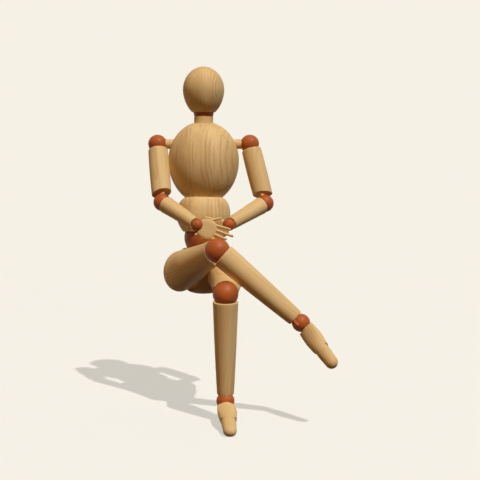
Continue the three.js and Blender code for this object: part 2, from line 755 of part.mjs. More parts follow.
function addArm(name, { side, arm: place }) {
  const arm = armAngles(side, place);
  const shoulder = at(shoulderLine, [(side * shoulderSpacing) / 2, 0, 0], { x: arm.swing });
  const ballFrame = sideFrame(shoulder, side);
  const ball = sideBall(shoulderBallR, joinery.shoulder, sweep.shoulder);
  ballFrame.add(mesh(`${name}_shoulder_ball`, ball, stained));
  ballFrame.add(mesh(`${name}_shoulder_pin`, crossPin(shoulderBallR, joinery.shoulder), steel));
  const lift = at(shoulder, [0, 0, 0], { y: arm.lift });
  sideFrame(lift, side).add(mesh(`${name}_arm_hanger`, hanger(shoulderBallR, joinery.shoulder), steel));
  const upperArm = at(lift, [0, 0, 0], { z: arm.turn });
  upperArm.add(mesh(`${name}_upper_arm`, upperArmBody(), beech));
  const elbow = at(upperArm, [0, 0, -upperArmLength], { x: arm.elbow });
  elbow.add(mesh(`${name}_elbow_ball`, jointBall(elbowBallR, joinery.elbow, sweep.elbow), stained));
  elbow.add(mesh(`${name}_elbow_pin`, crossPin(elbowBallR, joinery.elbow), steel));
  const forearm = at(elbow, [0, 0, 0], { z: arm.roll });
  forearm.add(mesh(`${name}_forearm`, forearmBody(), beech));
  const wrist = at(forearm, [0, 0, -forearmLength], { x: arm.wrist });
  wrist.add(mesh(`${name}_wrist_ball`, jointBall(wristBallR, joinery.wrist, sweep.wrist), stained));
  addHand(at(wrist, [0, 0, 0], { z: arm.hand }), name, side);
}

// Thigh: an oval root that narrows and rounds to the knee, hollowed for the hip ball and open
// to the inner side
function thighBody() {
  const mouth = new THREE.CylinderGeometry(hipMouthR, hipMouthR, thighRootR, ballSides);
  mouth.translate(0, -thighRootR / 2 - 2, 0);
  return thighOutline()
    .subtract(sphere(hipBallR + cupGap, cupSides))
    .subtract(solid(mouth))
    .add(tongue(joinery.hip, 0, hipBallR + 4))
    .subtract(pinHole(joinery.hip, 0))
    .subtract(pegHole(joinery.knee.half, thighLength - kneeBallR - hangerShankLength - gap, thighLength))
    .subtract(cup(kneeBallR, thighLength));
}

function shinBody() {
  const ankle = -shinLength;
  const ends = [shinTopRim, shinLength - shinEndRim];
  return shaft(ends, [shinTopR, shinEndR], shinSwell, limbSides)
    .subtract(cup(kneeBallR, 0))
    .subtract(pegHole(joinery.knee.peg, -kneeBallR - joinery.knee.pegLength - gap, -shinTopRim))
    .subtract(cup(ankleBallR, ankle))
    .add(tongue(joinery.ankle, ankle, ankleBallR + 3))
    .subtract(pinHole(joinery.ankle, ankle));
}

// Foot and toe run down -Z, with the instep at -Y and the flat sole at +Y
const footBridge = toeHinge - 1.2;

function footBody() {
  const points = [
    [0, -footBridge],
    [toeHalfWidth + 0.2, -footBridge],
    [footHalfWidth * 0.95, -footBridge * 0.78],
    [footHalfWidth, -footWidest],
    [footHalfWidth * 0.96, -footWidest * 0.6],
    [footStartR, -footRim],
    [0, -footRim],
  ];
  const squeeze = (x, y, z) => {
    const share = THREE.MathUtils.clamp((-z - footRim) / (footBridge - footRim), 0, 1);
    const flatter = THREE.MathUtils.lerp(1, toeHalfHeight / toeHalfWidth, share);
    return [x, y * flatter];
  };
  const sole = block([-20, soleDrop, -footLength - 5], [20, 20, 10]);
  const joint = moved(crossBarShape(toeHingeR + gap, -20, 20, 16), 0, 0, -toeHinge);
  return turned(points, limbSides, squeeze)
    .subtract(cup(ankleBallR, 0))
    .subtract(pegHole(joinery.ankle.peg, -ankleBallR - joinery.ankle.pegLength - gap, -footRim))
    .subtract(bevel(footStartR, -footRim, footSlant, 1))
    .subtract(sole)
    .subtract(solid(joint))
    .add(tongue(joinery.toe, -toeHinge, toeHingeR + 2.5))
    .add(trunnion(joinery.toe, -toeHinge, toeHalfWidth - pinCover - gap));
}

function toeBody() {
  const length = footLength - toeHinge;
  const tip = toeHalfWidth * 0.92;
  const points = [];
  for (let i = 0; i <= 4; i += 1) {
    const angle = -Math.PI / 2 + (Math.PI / 2) * (i / 4);
    points.push([tip * Math.cos(angle), -length + tip + tip * Math.sin(angle)]);
  }
  points[0][0] = 0;
  points.push([toeHalfWidth, 0], [toeHalfWidth, toeHingeR + 1], [0, toeHingeR + 1]);
  const flat = toeHalfHeight / toeHalfWidth;
  const rear = crossBar(toeHingeR, -20, 20, 16).add(block([-20, -20, -40], [20, 20, 0]));
  return turned(points, limbSides, (x, y) => [x, y * flat])
    .intersect(rear)
    .subtract(slot(joinery.toe, sweep.toe, toeHingeR + 1))
    .subtract(crossBar(joinery.toe.pin + gap, -toeHalfWidth + pinCover, toeHalfWidth - pinCover));
}

function addLeg(name, { side, leg }) {
  const hip = at(pelvis, [(side * hipSpacing) / 2, -hipForward, hipHeight], { x: leg.swing });
  const ballFrame = sideFrame(hip, side);
  ballFrame.add(mesh(`${name}_hip_ball`, sideBall(hipBallR, joinery.hip, sweep.hip), stained));
  ballFrame.add(mesh(`${name}_hip_pin`, crossPin(hipBallR, joinery.hip), steel));
  const thigh = at(hip, [0, 0, 0], { y: leg.spread });
  sideFrame(thigh, side).add(mesh(`${name}_thigh`, thighBody(), beech));
  const twist = at(thigh, [0, 0, -thighLength], { z: leg.turn });
  twist.add(mesh(`${name}_knee_hanger`, hanger(kneeBallR, joinery.knee), steel));
  const knee = at(twist, [0, 0, 0], { x: leg.knee });
  knee.add(mesh(`${name}_knee_ball`, jointBall(kneeBallR, joinery.knee, sweep.knee), stained));
  knee.add(mesh(`${name}_knee_pin`, crossPin(kneeBallR, joinery.knee), steel));
  const shin = at(knee, [0, 0, 0], { z: leg.roll });
  shin.add(mesh(`${name}_shin`, shinBody(), beech));
  const ankle = at(shin, [0, 0, -shinLength], { x: leg.ankle });
  ankle.add(mesh(`${name}_ankle_ball`, jointBall(ankleBallR, joinery.ankle, sweep.ankle), stained));
  ankle.add(mesh(`${name}_ankle_pin`, crossPin(ankleBallR, joinery.ankle), steel));
  const foot = at(ankle, [0, 0, 0]);
  foot.add(mesh(`${name}_foot`, footBody(), beech));
  const toe = at(foot, [0, 0, -toeHinge]);
  toe.add(mesh(`${name}_toe`, toeBody(), beech));
}

for (const [name, parts] of Object.entries(pose)) {
  addArm(name, parts);
  addLeg(name, parts);
}

object.updateMatrixWorld(true);
export default object;
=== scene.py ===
# %% [markdown]
# # A wooden artist mannequin
#
# The figure is a set of turned wooden pieces that sit with one leg crossed over the other.
# Its construction is loaded first, with every joint. Each wooden piece is then made again
# as a smooth surface in the place that its joints give it, and finished as varnished beech
# or as stained wood. The fixed frame stays as it is, so the new pieces only add looks.

# %% The frame and its joints
import json
import math

import bpy
import numpy as np
from mathutils import Matrix, Vector

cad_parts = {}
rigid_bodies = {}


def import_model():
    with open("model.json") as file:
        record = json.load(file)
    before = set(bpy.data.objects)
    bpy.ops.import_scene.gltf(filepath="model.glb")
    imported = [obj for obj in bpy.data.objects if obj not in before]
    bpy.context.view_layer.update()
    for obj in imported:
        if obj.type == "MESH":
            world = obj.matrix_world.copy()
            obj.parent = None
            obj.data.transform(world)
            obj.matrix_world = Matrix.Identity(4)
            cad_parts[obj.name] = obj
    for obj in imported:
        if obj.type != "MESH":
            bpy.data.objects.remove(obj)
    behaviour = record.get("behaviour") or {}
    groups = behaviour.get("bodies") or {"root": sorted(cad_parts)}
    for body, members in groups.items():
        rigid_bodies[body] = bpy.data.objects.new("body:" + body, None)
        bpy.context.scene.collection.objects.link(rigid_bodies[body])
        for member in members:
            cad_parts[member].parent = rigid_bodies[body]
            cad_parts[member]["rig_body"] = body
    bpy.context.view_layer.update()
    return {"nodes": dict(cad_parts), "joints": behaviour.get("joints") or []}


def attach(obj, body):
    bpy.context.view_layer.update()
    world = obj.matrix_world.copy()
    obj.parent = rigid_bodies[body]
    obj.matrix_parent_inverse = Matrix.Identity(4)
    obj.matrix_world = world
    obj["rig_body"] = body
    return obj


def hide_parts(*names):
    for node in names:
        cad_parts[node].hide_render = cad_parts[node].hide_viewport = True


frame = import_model()
joints = {joint["name"]: joint for joint in frame["joints"]}
MM = 0.001

# %% [markdown]
# ## The camera
#
# The photograph looks slightly down at the figure from the front, through a fairly long
# lens, which keeps the limbs' proportions calm. The camera's place is in millimetres from
# the middle of the seat, as every size in this lesson is.

# %% Camera
CAMERA_PLACE = np.array([27.4, -716.1, 99.1])
CAMERA_PITCH = 4.7  # degrees below the horizon
CAMERA_LENS = 71.4
SENSOR = 36

camera_data = bpy.data.cameras.new("camera")
camera_data.lens = CAMERA_LENS
camera_data.sensor_width = SENSOR
camera = bpy.data.objects.new("camera", camera_data)
camera.location = CAMERA_PLACE * MM
camera.rotation_euler = (math.radians(90 - CAMERA_PITCH), 0, 0)
bpy.context.scene.collection.objects.link(camera)
bpy.context.scene.camera = camera
print("camera", round(float(np.linalg.norm(CAMERA_PLACE))), "mm from the seat")

# %% [markdown]
# ## Where each piece lies
#
# A turned limb has one natural frame: its own axis, and the cross pin that the next ball
# swings on. Both are joint axes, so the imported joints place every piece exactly. That is
# safer than typing the pose a second time, because the two could come to disagree.

# %% Frames from joints


def spot(joint):
    """The point that a joint turns about, in metres."""
    return np.array(joints[joint]["pos_m"], float)


def along(joint):
    """The direction of a joint's axis, with a length of one."""
    axis = np.array(joints[joint]["axis"], float)
    return axis / np.linalg.norm(axis)


def axes(origin, x, z):
    """A 4 by 4 frame: X is x, Y is z cross x, and Z is X cross Y, each with a length of one."""
    x = x / np.linalg.norm(x)
    y = np.cross(z, x)
    y = y / np.linalg.norm(y)
    matrix = np.eye(4)
    matrix[:3, :3] = np.stack([x, y, np.cross(x, y)], axis=1)
    matrix[:3, 3] = origin
    return matrix


def shifted(matrix, x=0.0, y=0.0, z=0.0):
    """The frame moved along its own axes, in millimetres."""
    result = matrix.copy()
    result[:3, 3] += matrix[:3, :3] @ (np.array([x, y, z]) * MM)
    return result


def turned_x(degrees):
    """A turn about X: y and z mix by the cosine and sine of the angle."""
    c, s = math.cos(math.radians(degrees)), math.sin(math.radians(degrees))
    return np.array([[1, 0, 0, 0], [0, c, -s, 0], [0, s, c, 0], [0, 0, 0, 1]], float)


def turned_y(degrees):
    """A turn about Y: z and x mix by the cosine and sine of the angle."""
    c, s = math.cos(math.radians(degrees)), math.sin(math.radians(degrees))
    return np.array([[c, 0, s, 0], [0, 1, 0, 0], [-s, 0, c, 0], [0, 0, 0, 1]], float)


def apart(joint_a, joint_b):
    """The distance between two joints, in millimetres."""
    return float(np.linalg.norm(spot(joint_a) - spot(joint_b))) / MM


SIDES = {"right": -1, "left": 1}
upper_arm_length = apart("right_arm_turn", "right_elbow_bend")
forearm_length = apart("right_elbow_bend", "right_wrist_bend")
thigh_length = apart("right_leg_spread", "right_knee_bend")
shin_length = apart("right_knee_bend", "right_ankle_bend")
print("arm", round(upper_arm_length + forearm_length), "leg", round(thigh_length + shin_length))

# %% [markdown]
# ## Surfaces from two parameters
#
# Everything on a mannequin comes off a lathe, or nearly so. A turned piece is a profile
# carried round an axis: one parameter runs along the profile, the other round the axis.
# The whole grid is worked out at once and put into a mesh. Holes, slots and tongues are
# then cut and joined with solids made the same way, as a workshop would do it.

# %% Shapes as grids of points
ROUND = 96  # points round a turned piece


def skin(rings, start=None, end=None):
    """A closed surface over a stack of rings.

    Ring i and ring i + 1 are joined by four-sided faces, point j to point j + 1. A start
    and an end point close the ends as fans; without them, each end is one flat face.
    """
    count, around = rings.shape[:2]
    j = np.arange(around)
    k = (j + 1) % around
    i = (np.arange(count - 1) * around)[:, None]
    faces = [np.stack([i + j, i + k, i + around + k, i + around + j], axis=-1).reshape(-1, 4)]
    points = [rings.reshape(-1, 3)]
    last = (count - 1) * around
    if start is None:
        faces += [j[None, ::-1], last + j[None, :]]
        return points[0], faces
    points += [np.array([start, end], float)]
    tip = np.full(around, count * around)
    faces += [np.stack([k, j, tip], axis=-1), np.stack([last + j, last + k, tip + 1], axis=-1)]
    return np.concatenate(points), faces


def volume(shape):
    """Six times the signed volume: the sum over triangles of a dot (b cross c)."""
    points, faces = shape
    total = 0.0
    for group in faces:
        a = points[group[:, 0]]
        for n in range(1, group.shape[1] - 1):
            b, c = points[group[:, n]], points[group[:, n + 1]]
            total += np.einsum("ij,ij->", a, np.cross(b, c))
    return total


def placed(shape, matrix):
    """The shape's points turned and moved by a 4 by 4 matrix in millimetres."""
    points, faces = shape
    return points @ matrix[:3, :3].T + matrix[:3, 3], faces


def turned(profile, around=ROUND, squeeze=None):
    """A surface of revolution: x = r cos a, y = r sin a, z, for each (r, z) of the profile.

    The profile starts and ends on the axis. squeeze(x, y, z) may then flatten it.
    """
    profile = np.array(profile, float)
    angle = np.linspace(0, 2 * np.pi, around, endpoint=False)
    r, z = profile[1:-1, 0, None], profile[1:-1, 1, None]
    rings = np.stack([r * np.cos(angle), r * np.sin(angle), z + 0 * angle], axis=-1)
    if squeeze:
        rings = np.stack(squeeze(rings[..., 0], rings[..., 1], rings[..., 2]), axis=-1)
    return skin(rings, [0, 0, profile[0, 1]], [0, 0, profile[-1, 1]])


def prism(outline, low, high):
    """A flat (y, z) outline carried straight along X from low to high."""
    outline = np.array(outline, float)
    rings = np.stack([np.column_stack([np.full(len(outline), x), outline]) for x in (low, high)])
    return skin(rings)


def drum(radius, low, high, around=32, across=True):
    """A round bar along X from low to high, or along Z where across is false."""
    if across:
        angle = np.linspace(0, 2 * np.pi, around, endpoint=False)
        return prism(np.column_stack([radius * np.cos(angle), radius * np.sin(angle)]), low, high)
    return turned([(0, low), (radius, low), (radius, high), (0, high)], around)


def ball_shape(radius, x=0.0, y=0.0, z=0.0, around=64):
    """A sphere about (x, y, z): its profile is half a circle from pole to pole."""
    angle = np.linspace(-np.pi / 2, np.pi / 2, around // 2 + 1)
    profile = radius * np.column_stack([np.cos(angle), np.sin(angle)])
    points, faces = turned(profile, around)
    return points + np.array([x, y, z]), faces


def block(low, high):
    """A box between two corners."""
    (x0, y0, z0), (x1, y1, z1) = low, high
    return prism([(y0, z0), (y1, z0), (y1, z1), (y0, z1)], x0, x1)


def arc(r, z, radius, start, stop, steps=6):
    """Points of a circular arc about (r, z) from one angle to another, in degrees."""
    angle = np.radians(np.linspace(start, stop, steps + 1))
    return np.column_stack([r + radius * np.cos(angle), z + radius * np.sin(angle)])


def flowing(points, steps=8):
    """A smooth curve through the points.

    Each span is a cubic with the tangents (next - previous) / 2, so spans meet without a kink.
    """
    points = np.array(points, float)
    ahead = np.vstack([points[1:], points[-1:]])
    behind = np.vstack([points[:1], points[:-1]])
    tangent = (ahead - behind) / 2
    t = np.linspace(0, 1, steps, endpoint=False)[None, :, None]
    a, b = points[:-1, None], points[1:, None]
    ta, tb = tangent[:-1, None], tangent[1:, None]
    curve = ((2 * t**3 - 3 * t**2 + 1) * a + (t**3 - 2 * t**2 + t) * ta
             + (3 * t**2 - 2 * t**3) * b + (t**3 - t**2) * tb)
    return np.vstack([curve.reshape(-1, 2), points[-1:]])


def smoothstep(value, low, high):
    """0 below low, 1 above high, and 3 t squared minus 2 t cubed between."""
    t = np.clip((value - low) / (high - low), 0, 1)
    return t * t * (3 - 2 * t)


# %% From points to a Blender mesh
SHARP_FROM = 38  # degrees between two faces from which their edge is drawn sharp


def new_object(name, shape, matrix=np.eye(4)):
    """Puts a shape in millimetres into a mesh in metres, at its place, faces outwards."""
    points, faces = shape
    if volume(shape) < 0:
        faces = [group[:, ::-1] for group in faces]
    world = points @ (matrix[:3, :3].T * MM) + matrix[:3, 3]
    sizes = np.concatenate([np.full(len(group), group.shape[1]) for group in faces])
    corners = np.concatenate([group.ravel() for group in faces])
    mesh = bpy.data.meshes.new(name)
    mesh.vertices.add(len(world))
    mesh.vertices.foreach_set("co", world.astype(np.float32).ravel())
    mesh.loops.add(len(corners))
    mesh.loops.foreach_set("vertex_index", corners.astype(np.int32))
    mesh.polygons.add(len(sizes))
    starts = np.concatenate([[0], np.cumsum(sizes)[:-1]])
    mesh.polygons.foreach_set("loop_start", starts.astype(np.int32))
    mesh.update(calc_edges=True)
    mesh.validate()
    piece = bpy.data.objects.new(name, mesh)
    bpy.context.scene.collection.objects.link(piece)
    return piece


def worked(name, shape, matrix, steps=()):
    """A shape with cuts and joins made on it, each step a pair such as ("DIFFERENCE", tool)."""
    piece = new_object(name, shape, matrix)
    tools = []
    for number, (operation, tool) in enumerate(steps):
        tools.append(new_object(f"tool_{number}", tool, matrix))
        modifier = piece.modifiers.new("step", "BOOLEAN")
        modifier.operation = operation
        modifier.solver = "MANIFOLD"
        modifier.object = tools[-1]
    if steps:
        graph = bpy.context.evaluated_depsgraph_get()
        made = bpy.data.meshes.new_from_object(piece.evaluated_get(graph))
        piece.modifiers.clear()
        plain = piece.data
        piece.data = made
        bpy.data.meshes.remove(plain)
        made.name = name
    for tool in tools:
        data = tool.data
        bpy.data.objects.remove(tool)
        bpy.data.meshes.remove(data)
    mesh = piece.data
    mesh.polygons.foreach_set("use_smooth", np.ones(len(mesh.polygons), bool))
    mesh.set_sharp_from_angle(angle=math.radians(SHARP_FROM))
    return piece


def cut(*tools):
    """Steps that take each tool away."""
    return [("DIFFERENCE", tool) for tool in tools]


def join(*tools):
    """Steps that add each tool."""
    return [("UNION", tool) for tool in tools]


# %% [markdown]
# ## The joints' own sizes
#
# Every ball is slotted for a tongue on one side and has a peg on the other. The tongue
# swings on a cross pin, and the peg turns in a bore. The clearances are those of a well
# made figure: small enough to hold a pose by friction.

# %% Sizes of balls, tongues, pins and pegs
GAP = 0.3  # round a pin, a peg, a dowel or a finger, and at the end of its hole
SLOT_GAP = 0.2  # at each side of a tongue
CUP_GAP = 0.25  # between a ball and its cup
TOE_GAP = 0.12  # between the toe's barrel and its seat
WAIST_CUP_GAP = 0.45
HIP_HOLLOW_GAP = 0.45  # between a thigh's root and the pelvis
PIN_COVER = 1.0  # wood left over each end of a cross pin
HANGER_SHANK = 14

BALL = {"neck": 7.6, "waist": 14.6, "shoulder": 7.1, "elbow": 6.5, "wrist": 4.5, "hip": 7.0,
        "knee": 8.9, "ankle": 6.4}
# Half thickness, eye radius, reach of the tongue to its front and back, pin, peg, peg length
FIT = {
    "neck": dict(half=1.6, eye=2.6, front=2.6, back=2.6, pin=1.2, peg=2.6, length=10),
    "waist": dict(half=2.4, eye=4.6, front=4.6, back=4.6, pin=2, peg=4, length=11),
    "shoulder": dict(half=1.3, eye=2.2, front=2.2, back=2.2, pin=1, peg=2, length=8),
    "elbow": dict(half=0.8, eye=2.1, front=2.1, back=0.9, pin=0.9, peg=1.8, length=9),
    "wrist": dict(half=0.6, eye=1.5, front=0.7, back=1.5, pin=0.6, peg=1.2, length=4.5),
    "hip": dict(half=1.5, eye=2.4, front=2.4, back=2.4, pin=1.1, peg=2.4, length=8.5),
    "knee": dict(half=1.6, eye=2.8, front=0.9, back=2.8, pin=1.2, peg=2.6, length=12),
    "ankle": dict(half=0.5, eye=2.1, front=2.1, back=0.9, pin=0.9, peg=1.8, length=7),
    "toe": dict(half=0.8, eye=2, front=1.2, back=1.2, pin=0.8),
}
# How far each slot lets its tongue swing, in degrees from straight
SWEEP = {"neck": (-25, 25), "waist": (-30, 30), "shoulder": (-16, 96), "elbow": (-107, -43),
         "wrist": (0, 66), "hip": (-34, 34), "knee": (3, 92), "ankle": (-90, 1),
         "toe": (-35, 35)}
print(len(BALL), "kinds of ball, the largest", 2 * max(BALL.values()), "mm across")

# %% [markdown]
# ## Balls
#
# A ball could be a plain sphere, but from behind and above its slot shows, and a figure
# without slots would look like a drawing of itself. So the sphere and its peg are one
# turned profile, and the slot is cut as a wedge with a round bottom, swept as far as the
# tongue swings.

# %% Slots, tongues and balls


def slot_tools(fit, sweep, reach):
    """The wedge that a tongue sweeps out, and the round seat of its eye.

    The wedge runs from the tongue's front at the first angle to its back at the last. A
    point at angle a, out across it and s along it lies at y = s sin a + out cos a and
    z = s cos a - out sin a.
    """
    angle = np.radians(np.linspace(sweep[0], sweep[1], 2 + abs(sweep[1] - sweep[0]) // 12))
    fan = 1.15 * reach * np.column_stack([np.sin(angle), np.cos(angle)])

    def edge(a, out, s):
        return [math.sin(a) * s + math.cos(a) * out, math.cos(a) * s - math.sin(a) * out]

    front, back = -fit["front"] - GAP, fit["back"] + GAP
    first, last = angle[0], angle[-1]
    outline = [edge(first, front, 0), edge(first, front, reach), *fan.tolist(),
               edge(last, back, reach), edge(last, back, 0)]
    wide = fit["half"] + SLOT_GAP
    return prism(outline, -wide, wide), drum(fit["eye"] + GAP, -wide, wide)


def tongue_tools(fit, z=0.0, rise=10.0):
    """The round eye of a tongue at height z and the flat bar that carries it."""
    low, high = sorted((z, z + rise))
    eye = placed(drum(fit["eye"], -fit["half"], fit["half"]), offset(z=z))
    bar = block((-fit["half"], -fit["front"], low), (fit["half"], fit["back"], high))
    return eye, bar


def pin_hole(fit, z=0.0, reach=None):
    """A hole along X for a cross pin at height z."""
    reach = fit["half"] + 1 if reach is None else reach
    return placed(drum(fit["pin"] + GAP, -reach, reach, 24), offset(z=z))


def offset(x=0.0, y=0.0, z=0.0):
    """A plain shift as a 4 by 4 matrix, in millimetres."""
    matrix = np.eye(4)
    matrix[:3, 3] = [x, y, z]
    return matrix


def pegged_sphere(radius, fit):
    """The profile of a ball on its peg: an arc down to the peg, the peg, a small chamfer."""
    meet = math.degrees(math.asin(fit["peg"] / radius)) - 90
    foot = -radius - fit["length"]
    profile = [*arc(0, 0, radius, 90, meet, 40), (fit["peg"], foot + 0.4), (fit["peg"] - 0.4, foot),
               (0, foot)]
    profile[0] = (0, radius)
    return turned(profile)


def slotted_ball(kind, sideways=False):
    """A ball on its peg, which points down, or to the inner side where sideways, and its cuts."""
    fit, radius = FIT[kind], BALL[kind]
    shape = pegged_sphere(radius, fit)
    if sideways:
        shape = placed(shape, turned_x(-90))
    return shape, cut(*slot_tools(fit, SWEEP[kind], radius), pin_hole(fit, 0, radius - PIN_COVER))


# %% [markdown]
# ## Limbs
#
# Upper arms, forearms and shins are turned rods with a cup at each end. A rim could be cut
# after the rod is made, and the elbow's slant is. The others are worked out with the rod,
# which keeps their rounded edge the same all round. A rim is a plane over the round
# section, level or, on a foot, at a slant that lets the ankle fold. So its height is a
# function of the angle, and the cup's lip is where that plane meets the sphere.

# %% The end of a limb and the rod between two ends


def socket(radius, rim, cup, hole, depth, slant=0.0, soft=0.8, wall=None):
    """Rings from the outer wall, over the rim, into the cup and down its bore to the bottom.

    Depth is measured from the ball's centre into the limb. The rim lies at
    d = rim + (radius - y) tan(slant). Its lip is the r that solves r^2 + d^2 = cup^2. The
    cup is an arc of the sphere, and the outer corner a quarter circle. wall(d) is the
    outer radius at depth d, where it changes over the height of a slanted rim.
    """
    angle = np.linspace(0, 2 * np.pi, ROUND, endpoint=False)
    cosine, sine = np.cos(angle), np.sin(angle)
    tilt = math.tan(math.radians(slant))
    base = rim + radius * tilt

    def ring(r, d):
        return np.stack([r * cosine, r * sine, d + 0 * angle], axis=-1)

    a = 1 + (tilt * sine) ** 2
    b = base * tilt * sine
    lip = (b + np.sqrt(b**2 - a * (base**2 - cup**2))) / a
    outer = radius + 0 * angle
    for _ in range(5 if wall else 0):
        outer = wall(base - tilt * outer * sine)
    soft = min(soft, 0.6 * float((outer - lip).min()))
    quarter = np.radians(np.linspace(0, 90, 6))[:, None]
    r = outer - soft * (1 - np.cos(quarter))
    height = base - tilt * r * sine + soft * (1 - np.sin(quarter))
    rounding = np.stack([r * cosine, r * sine, height], axis=-1)
    lip_depth = base - tilt * lip * sine
    start = np.arctan2(lip, lip_depth)
    stop = math.asin(hole / cup)
    share = np.linspace(0, 1, 14)[:, None]
    polar = start + (stop - start) * share
    across = cup * np.sin(polar)
    bowl = np.stack([across * cosine, across * sine, cup * np.cos(polar)], axis=-1)
    bore = ring(hole, depth)[None]
    return np.concatenate([rounding, bowl, bore]), [0, 0, depth]


def rod(length, top, bottom, wall):
    """A limb hanging down -Z between two sockets, its wall a radius by share of height."""
    upper, upper_end = socket(**top)
    lower, lower_end = socket(**bottom)
    upper[..., 2] *= -1
    upper_end[2] *= -1
    lower[..., 2] -= length
    lower_end[2] -= length
    share = np.linspace(0, 1, 26)[1:-1, None]
    height = upper[0, :, 2] + (lower[0, :, 2] - upper[0, :, 2]) * share
    angle = np.linspace(0, 2 * np.pi, ROUND, endpoint=False)
    r = wall(share) + 0 * angle
    side = np.stack([r * np.cos(angle), r * np.sin(angle), height], axis=-1)
    return skin(np.concatenate([upper[::-1], side, lower]), upper_end, lower_end)


def tapered(top, bottom, swell=0.0):
    """A radius that goes evenly from top to bottom and swells by a parabola between."""
    return lambda share: top + (bottom - top) * share + 4 * swell * share * (1 - share)


def cup_of(kind):
    """The radius of a limb's cup."""
    return BALL[kind] + CUP_GAP


def plain_cup(kind):
    """A cup without a bore: its bottom closes in a very small ring."""
    return dict(cup=cup_of(kind), hole=0.2, depth=cup_of(kind) + 0.01)


def peg_bore(kind):
    """The radius and depth of the bore that a ball's peg turns in."""
    fit = FIT[kind]
    return dict(hole=fit["peg"] + GAP, depth=BALL[kind] + fit["length"] + GAP)


def hanger_bore(kind):
    """The radius and depth of the bore that a hanger's shank turns in."""
    return dict(hole=FIT[kind]["half"] + GAP, depth=BALL[kind] + HANGER_SHANK + GAP)


# %% [markdown]
# ## The torso
#
# Pelvis, abdomen, chest and head are larger turned forms. The chest and the pelvis are
# squeezed a little from front to back. The pelvis is hollowed at both sides and in front,
# so that the thighs can swing, and the hollows are the very paths of the thighs.

# %% Torso sizes
SEAT_R = 6.5
PELVIS_WIDTH_R = 21
PELVIS_DEPTH_R = 15.5
PELVIS_RIM = 33.8
HIP_BOSS_R = 3.4
THIGH_ROOT_R = 15.6
THIGH_ROOT_HALF_WIDTH = 12.2
THIGH_ROOT_BLEND = 22
THIGH_HOLLOW = 0.4
THIGH_END_R = 8.9
THIGH_TAPER_END = 8.8  # where the taper ends, measured back from the knee ball's centre
THIGH_END_RIM = 2.8
THIGH_END_ROUND = 3
HIP_MOUTH_R = 10.4
CROSSING_PLACES = ((-111.2, 30), (-113.4, 30), (-112.2, 24))  # swing, and spread inward
CROSSING_ROOM = 0.7
ABDOMEN_FOOT, ABDOMEN_FOOT_R = 4.4, 15.5
ABDOMEN_R, ABDOMEN_TOP_R = 20.2, 14.6
SPIGOT_R, SPIGOT_LENGTH = 4, 10
CHEST_R, CHEST_DEPTH_SHARE, CHEST_HEIGHT = 26.6, 0.94, 55.2
CHEST_FOOT_R, CHEST_TOP_R, CHEST_WIDEST = 14.2, 9.6, 27.8
SHOULDER_BAR_R = 3.7
COLLAR_R, COLLAR_HEIGHT = 7.3, 4.9
DOWEL_R, DOWEL_LENGTH = 3.4, 9
HEAD_R, HEAD_TOP_RISE, HEAD_WIDEST, HEAD_RIM = 15.6, 17.7, 16.4, 0.1
HEAD_FALL, HEAD_TAPER = 20.1, 0.06

waist_frame = axes(spot("waist_bend"), along("waist_bend"), along("abdomen_turn"))
chest_frame = axes(spot("chest_turn"), along("waist_bend"), along("chest_turn"))
head_frame = axes(spot("head_turn"), along("head_nod"), along("head_turn"))
pelvis_frame = np.eye(4)
abdomen_top = apart("waist_bend", "chest_turn") - GAP
abdomen_height = abdomen_top - ABDOMEN_FOOT
neck_rise = apart("chest_turn", "head_nod") - CHEST_HEIGHT
waist_height = float(spot("waist_bend")[2]) / MM
hip_place = spot("right_leg_swing") / MM
hip_half_spacing, hip_forward, hip_height = -hip_place[0], -hip_place[1], hip_place[2]
shoulder_half_spacing = -spot("right_arm_swing")[0] / MM
shoulder = np.linalg.inv(chest_frame) @ np.append(spot("right_arm_swing"), 1)
shoulder_height = float(shoulder[2]) / MM
print("hips at", np.round(hip_place, 1), "shoulders", round(shoulder_half_spacing, 1))

# %% Thigh outline, which the pelvis also needs


def side_frame(matrix, side):
    """Z down the limb, Y to the outer side, X across: the frame of a hip or a shoulder piece."""
    basis = np.eye(4)
    basis[:3, 0] = [0, side, 0]
    basis[:3, 1] = [side, 0, 0]
    basis[:3, 2] = [0, 0, -1]
    return matrix @ basis


def thigh_squeeze(grow):
    """Flattens the root sideways; the flattening fades by a smooth step toward the knee."""
    flat = THIGH_ROOT_R - THIGH_ROOT_HALF_WIDTH

    def squeeze(x, y, z):
        end = thigh_length - THIGH_TAPER_END
        full = THIGH_ROOT_R + grow + (THIGH_END_R - THIGH_ROOT_R) * np.maximum(0, z / end)
        return x, y * (1 - flat * (1 - smoothstep(z, 0, THIGH_ROOT_BLEND)) / full), z

    return squeeze


def thigh_profile(grow=0.0):
    """A quarter circle for the root, then a straight taper with a shallow sine hollow."""
    end = thigh_length - THIGH_TAPER_END
    root, last = THIGH_ROOT_R + grow, THIGH_END_R + grow
    share = np.linspace(0.02, 0.93, 26)
    r = root + (last - root) * share - THIGH_HOLLOW * np.sin(np.pi * share)
    return [*arc(0, 0, root, -90, 0, 18), *np.column_stack([r, end * share])]


def thigh_solid(grow):
    """The plain outside of a thigh, as a tool, with a round edge at the knee."""
    end = thigh_length - THIGH_TAPER_END
    edge = THIGH_END_ROUND
    last = THIGH_END_R + grow
    profile = [*thigh_profile(grow), *arc(last - edge, end - edge, edge, 0, 90), (0, end)]
    profile[0] = (0, -THIGH_ROOT_R - grow)
    return turned(profile, 64, thigh_squeeze(grow))


# %% Pelvis


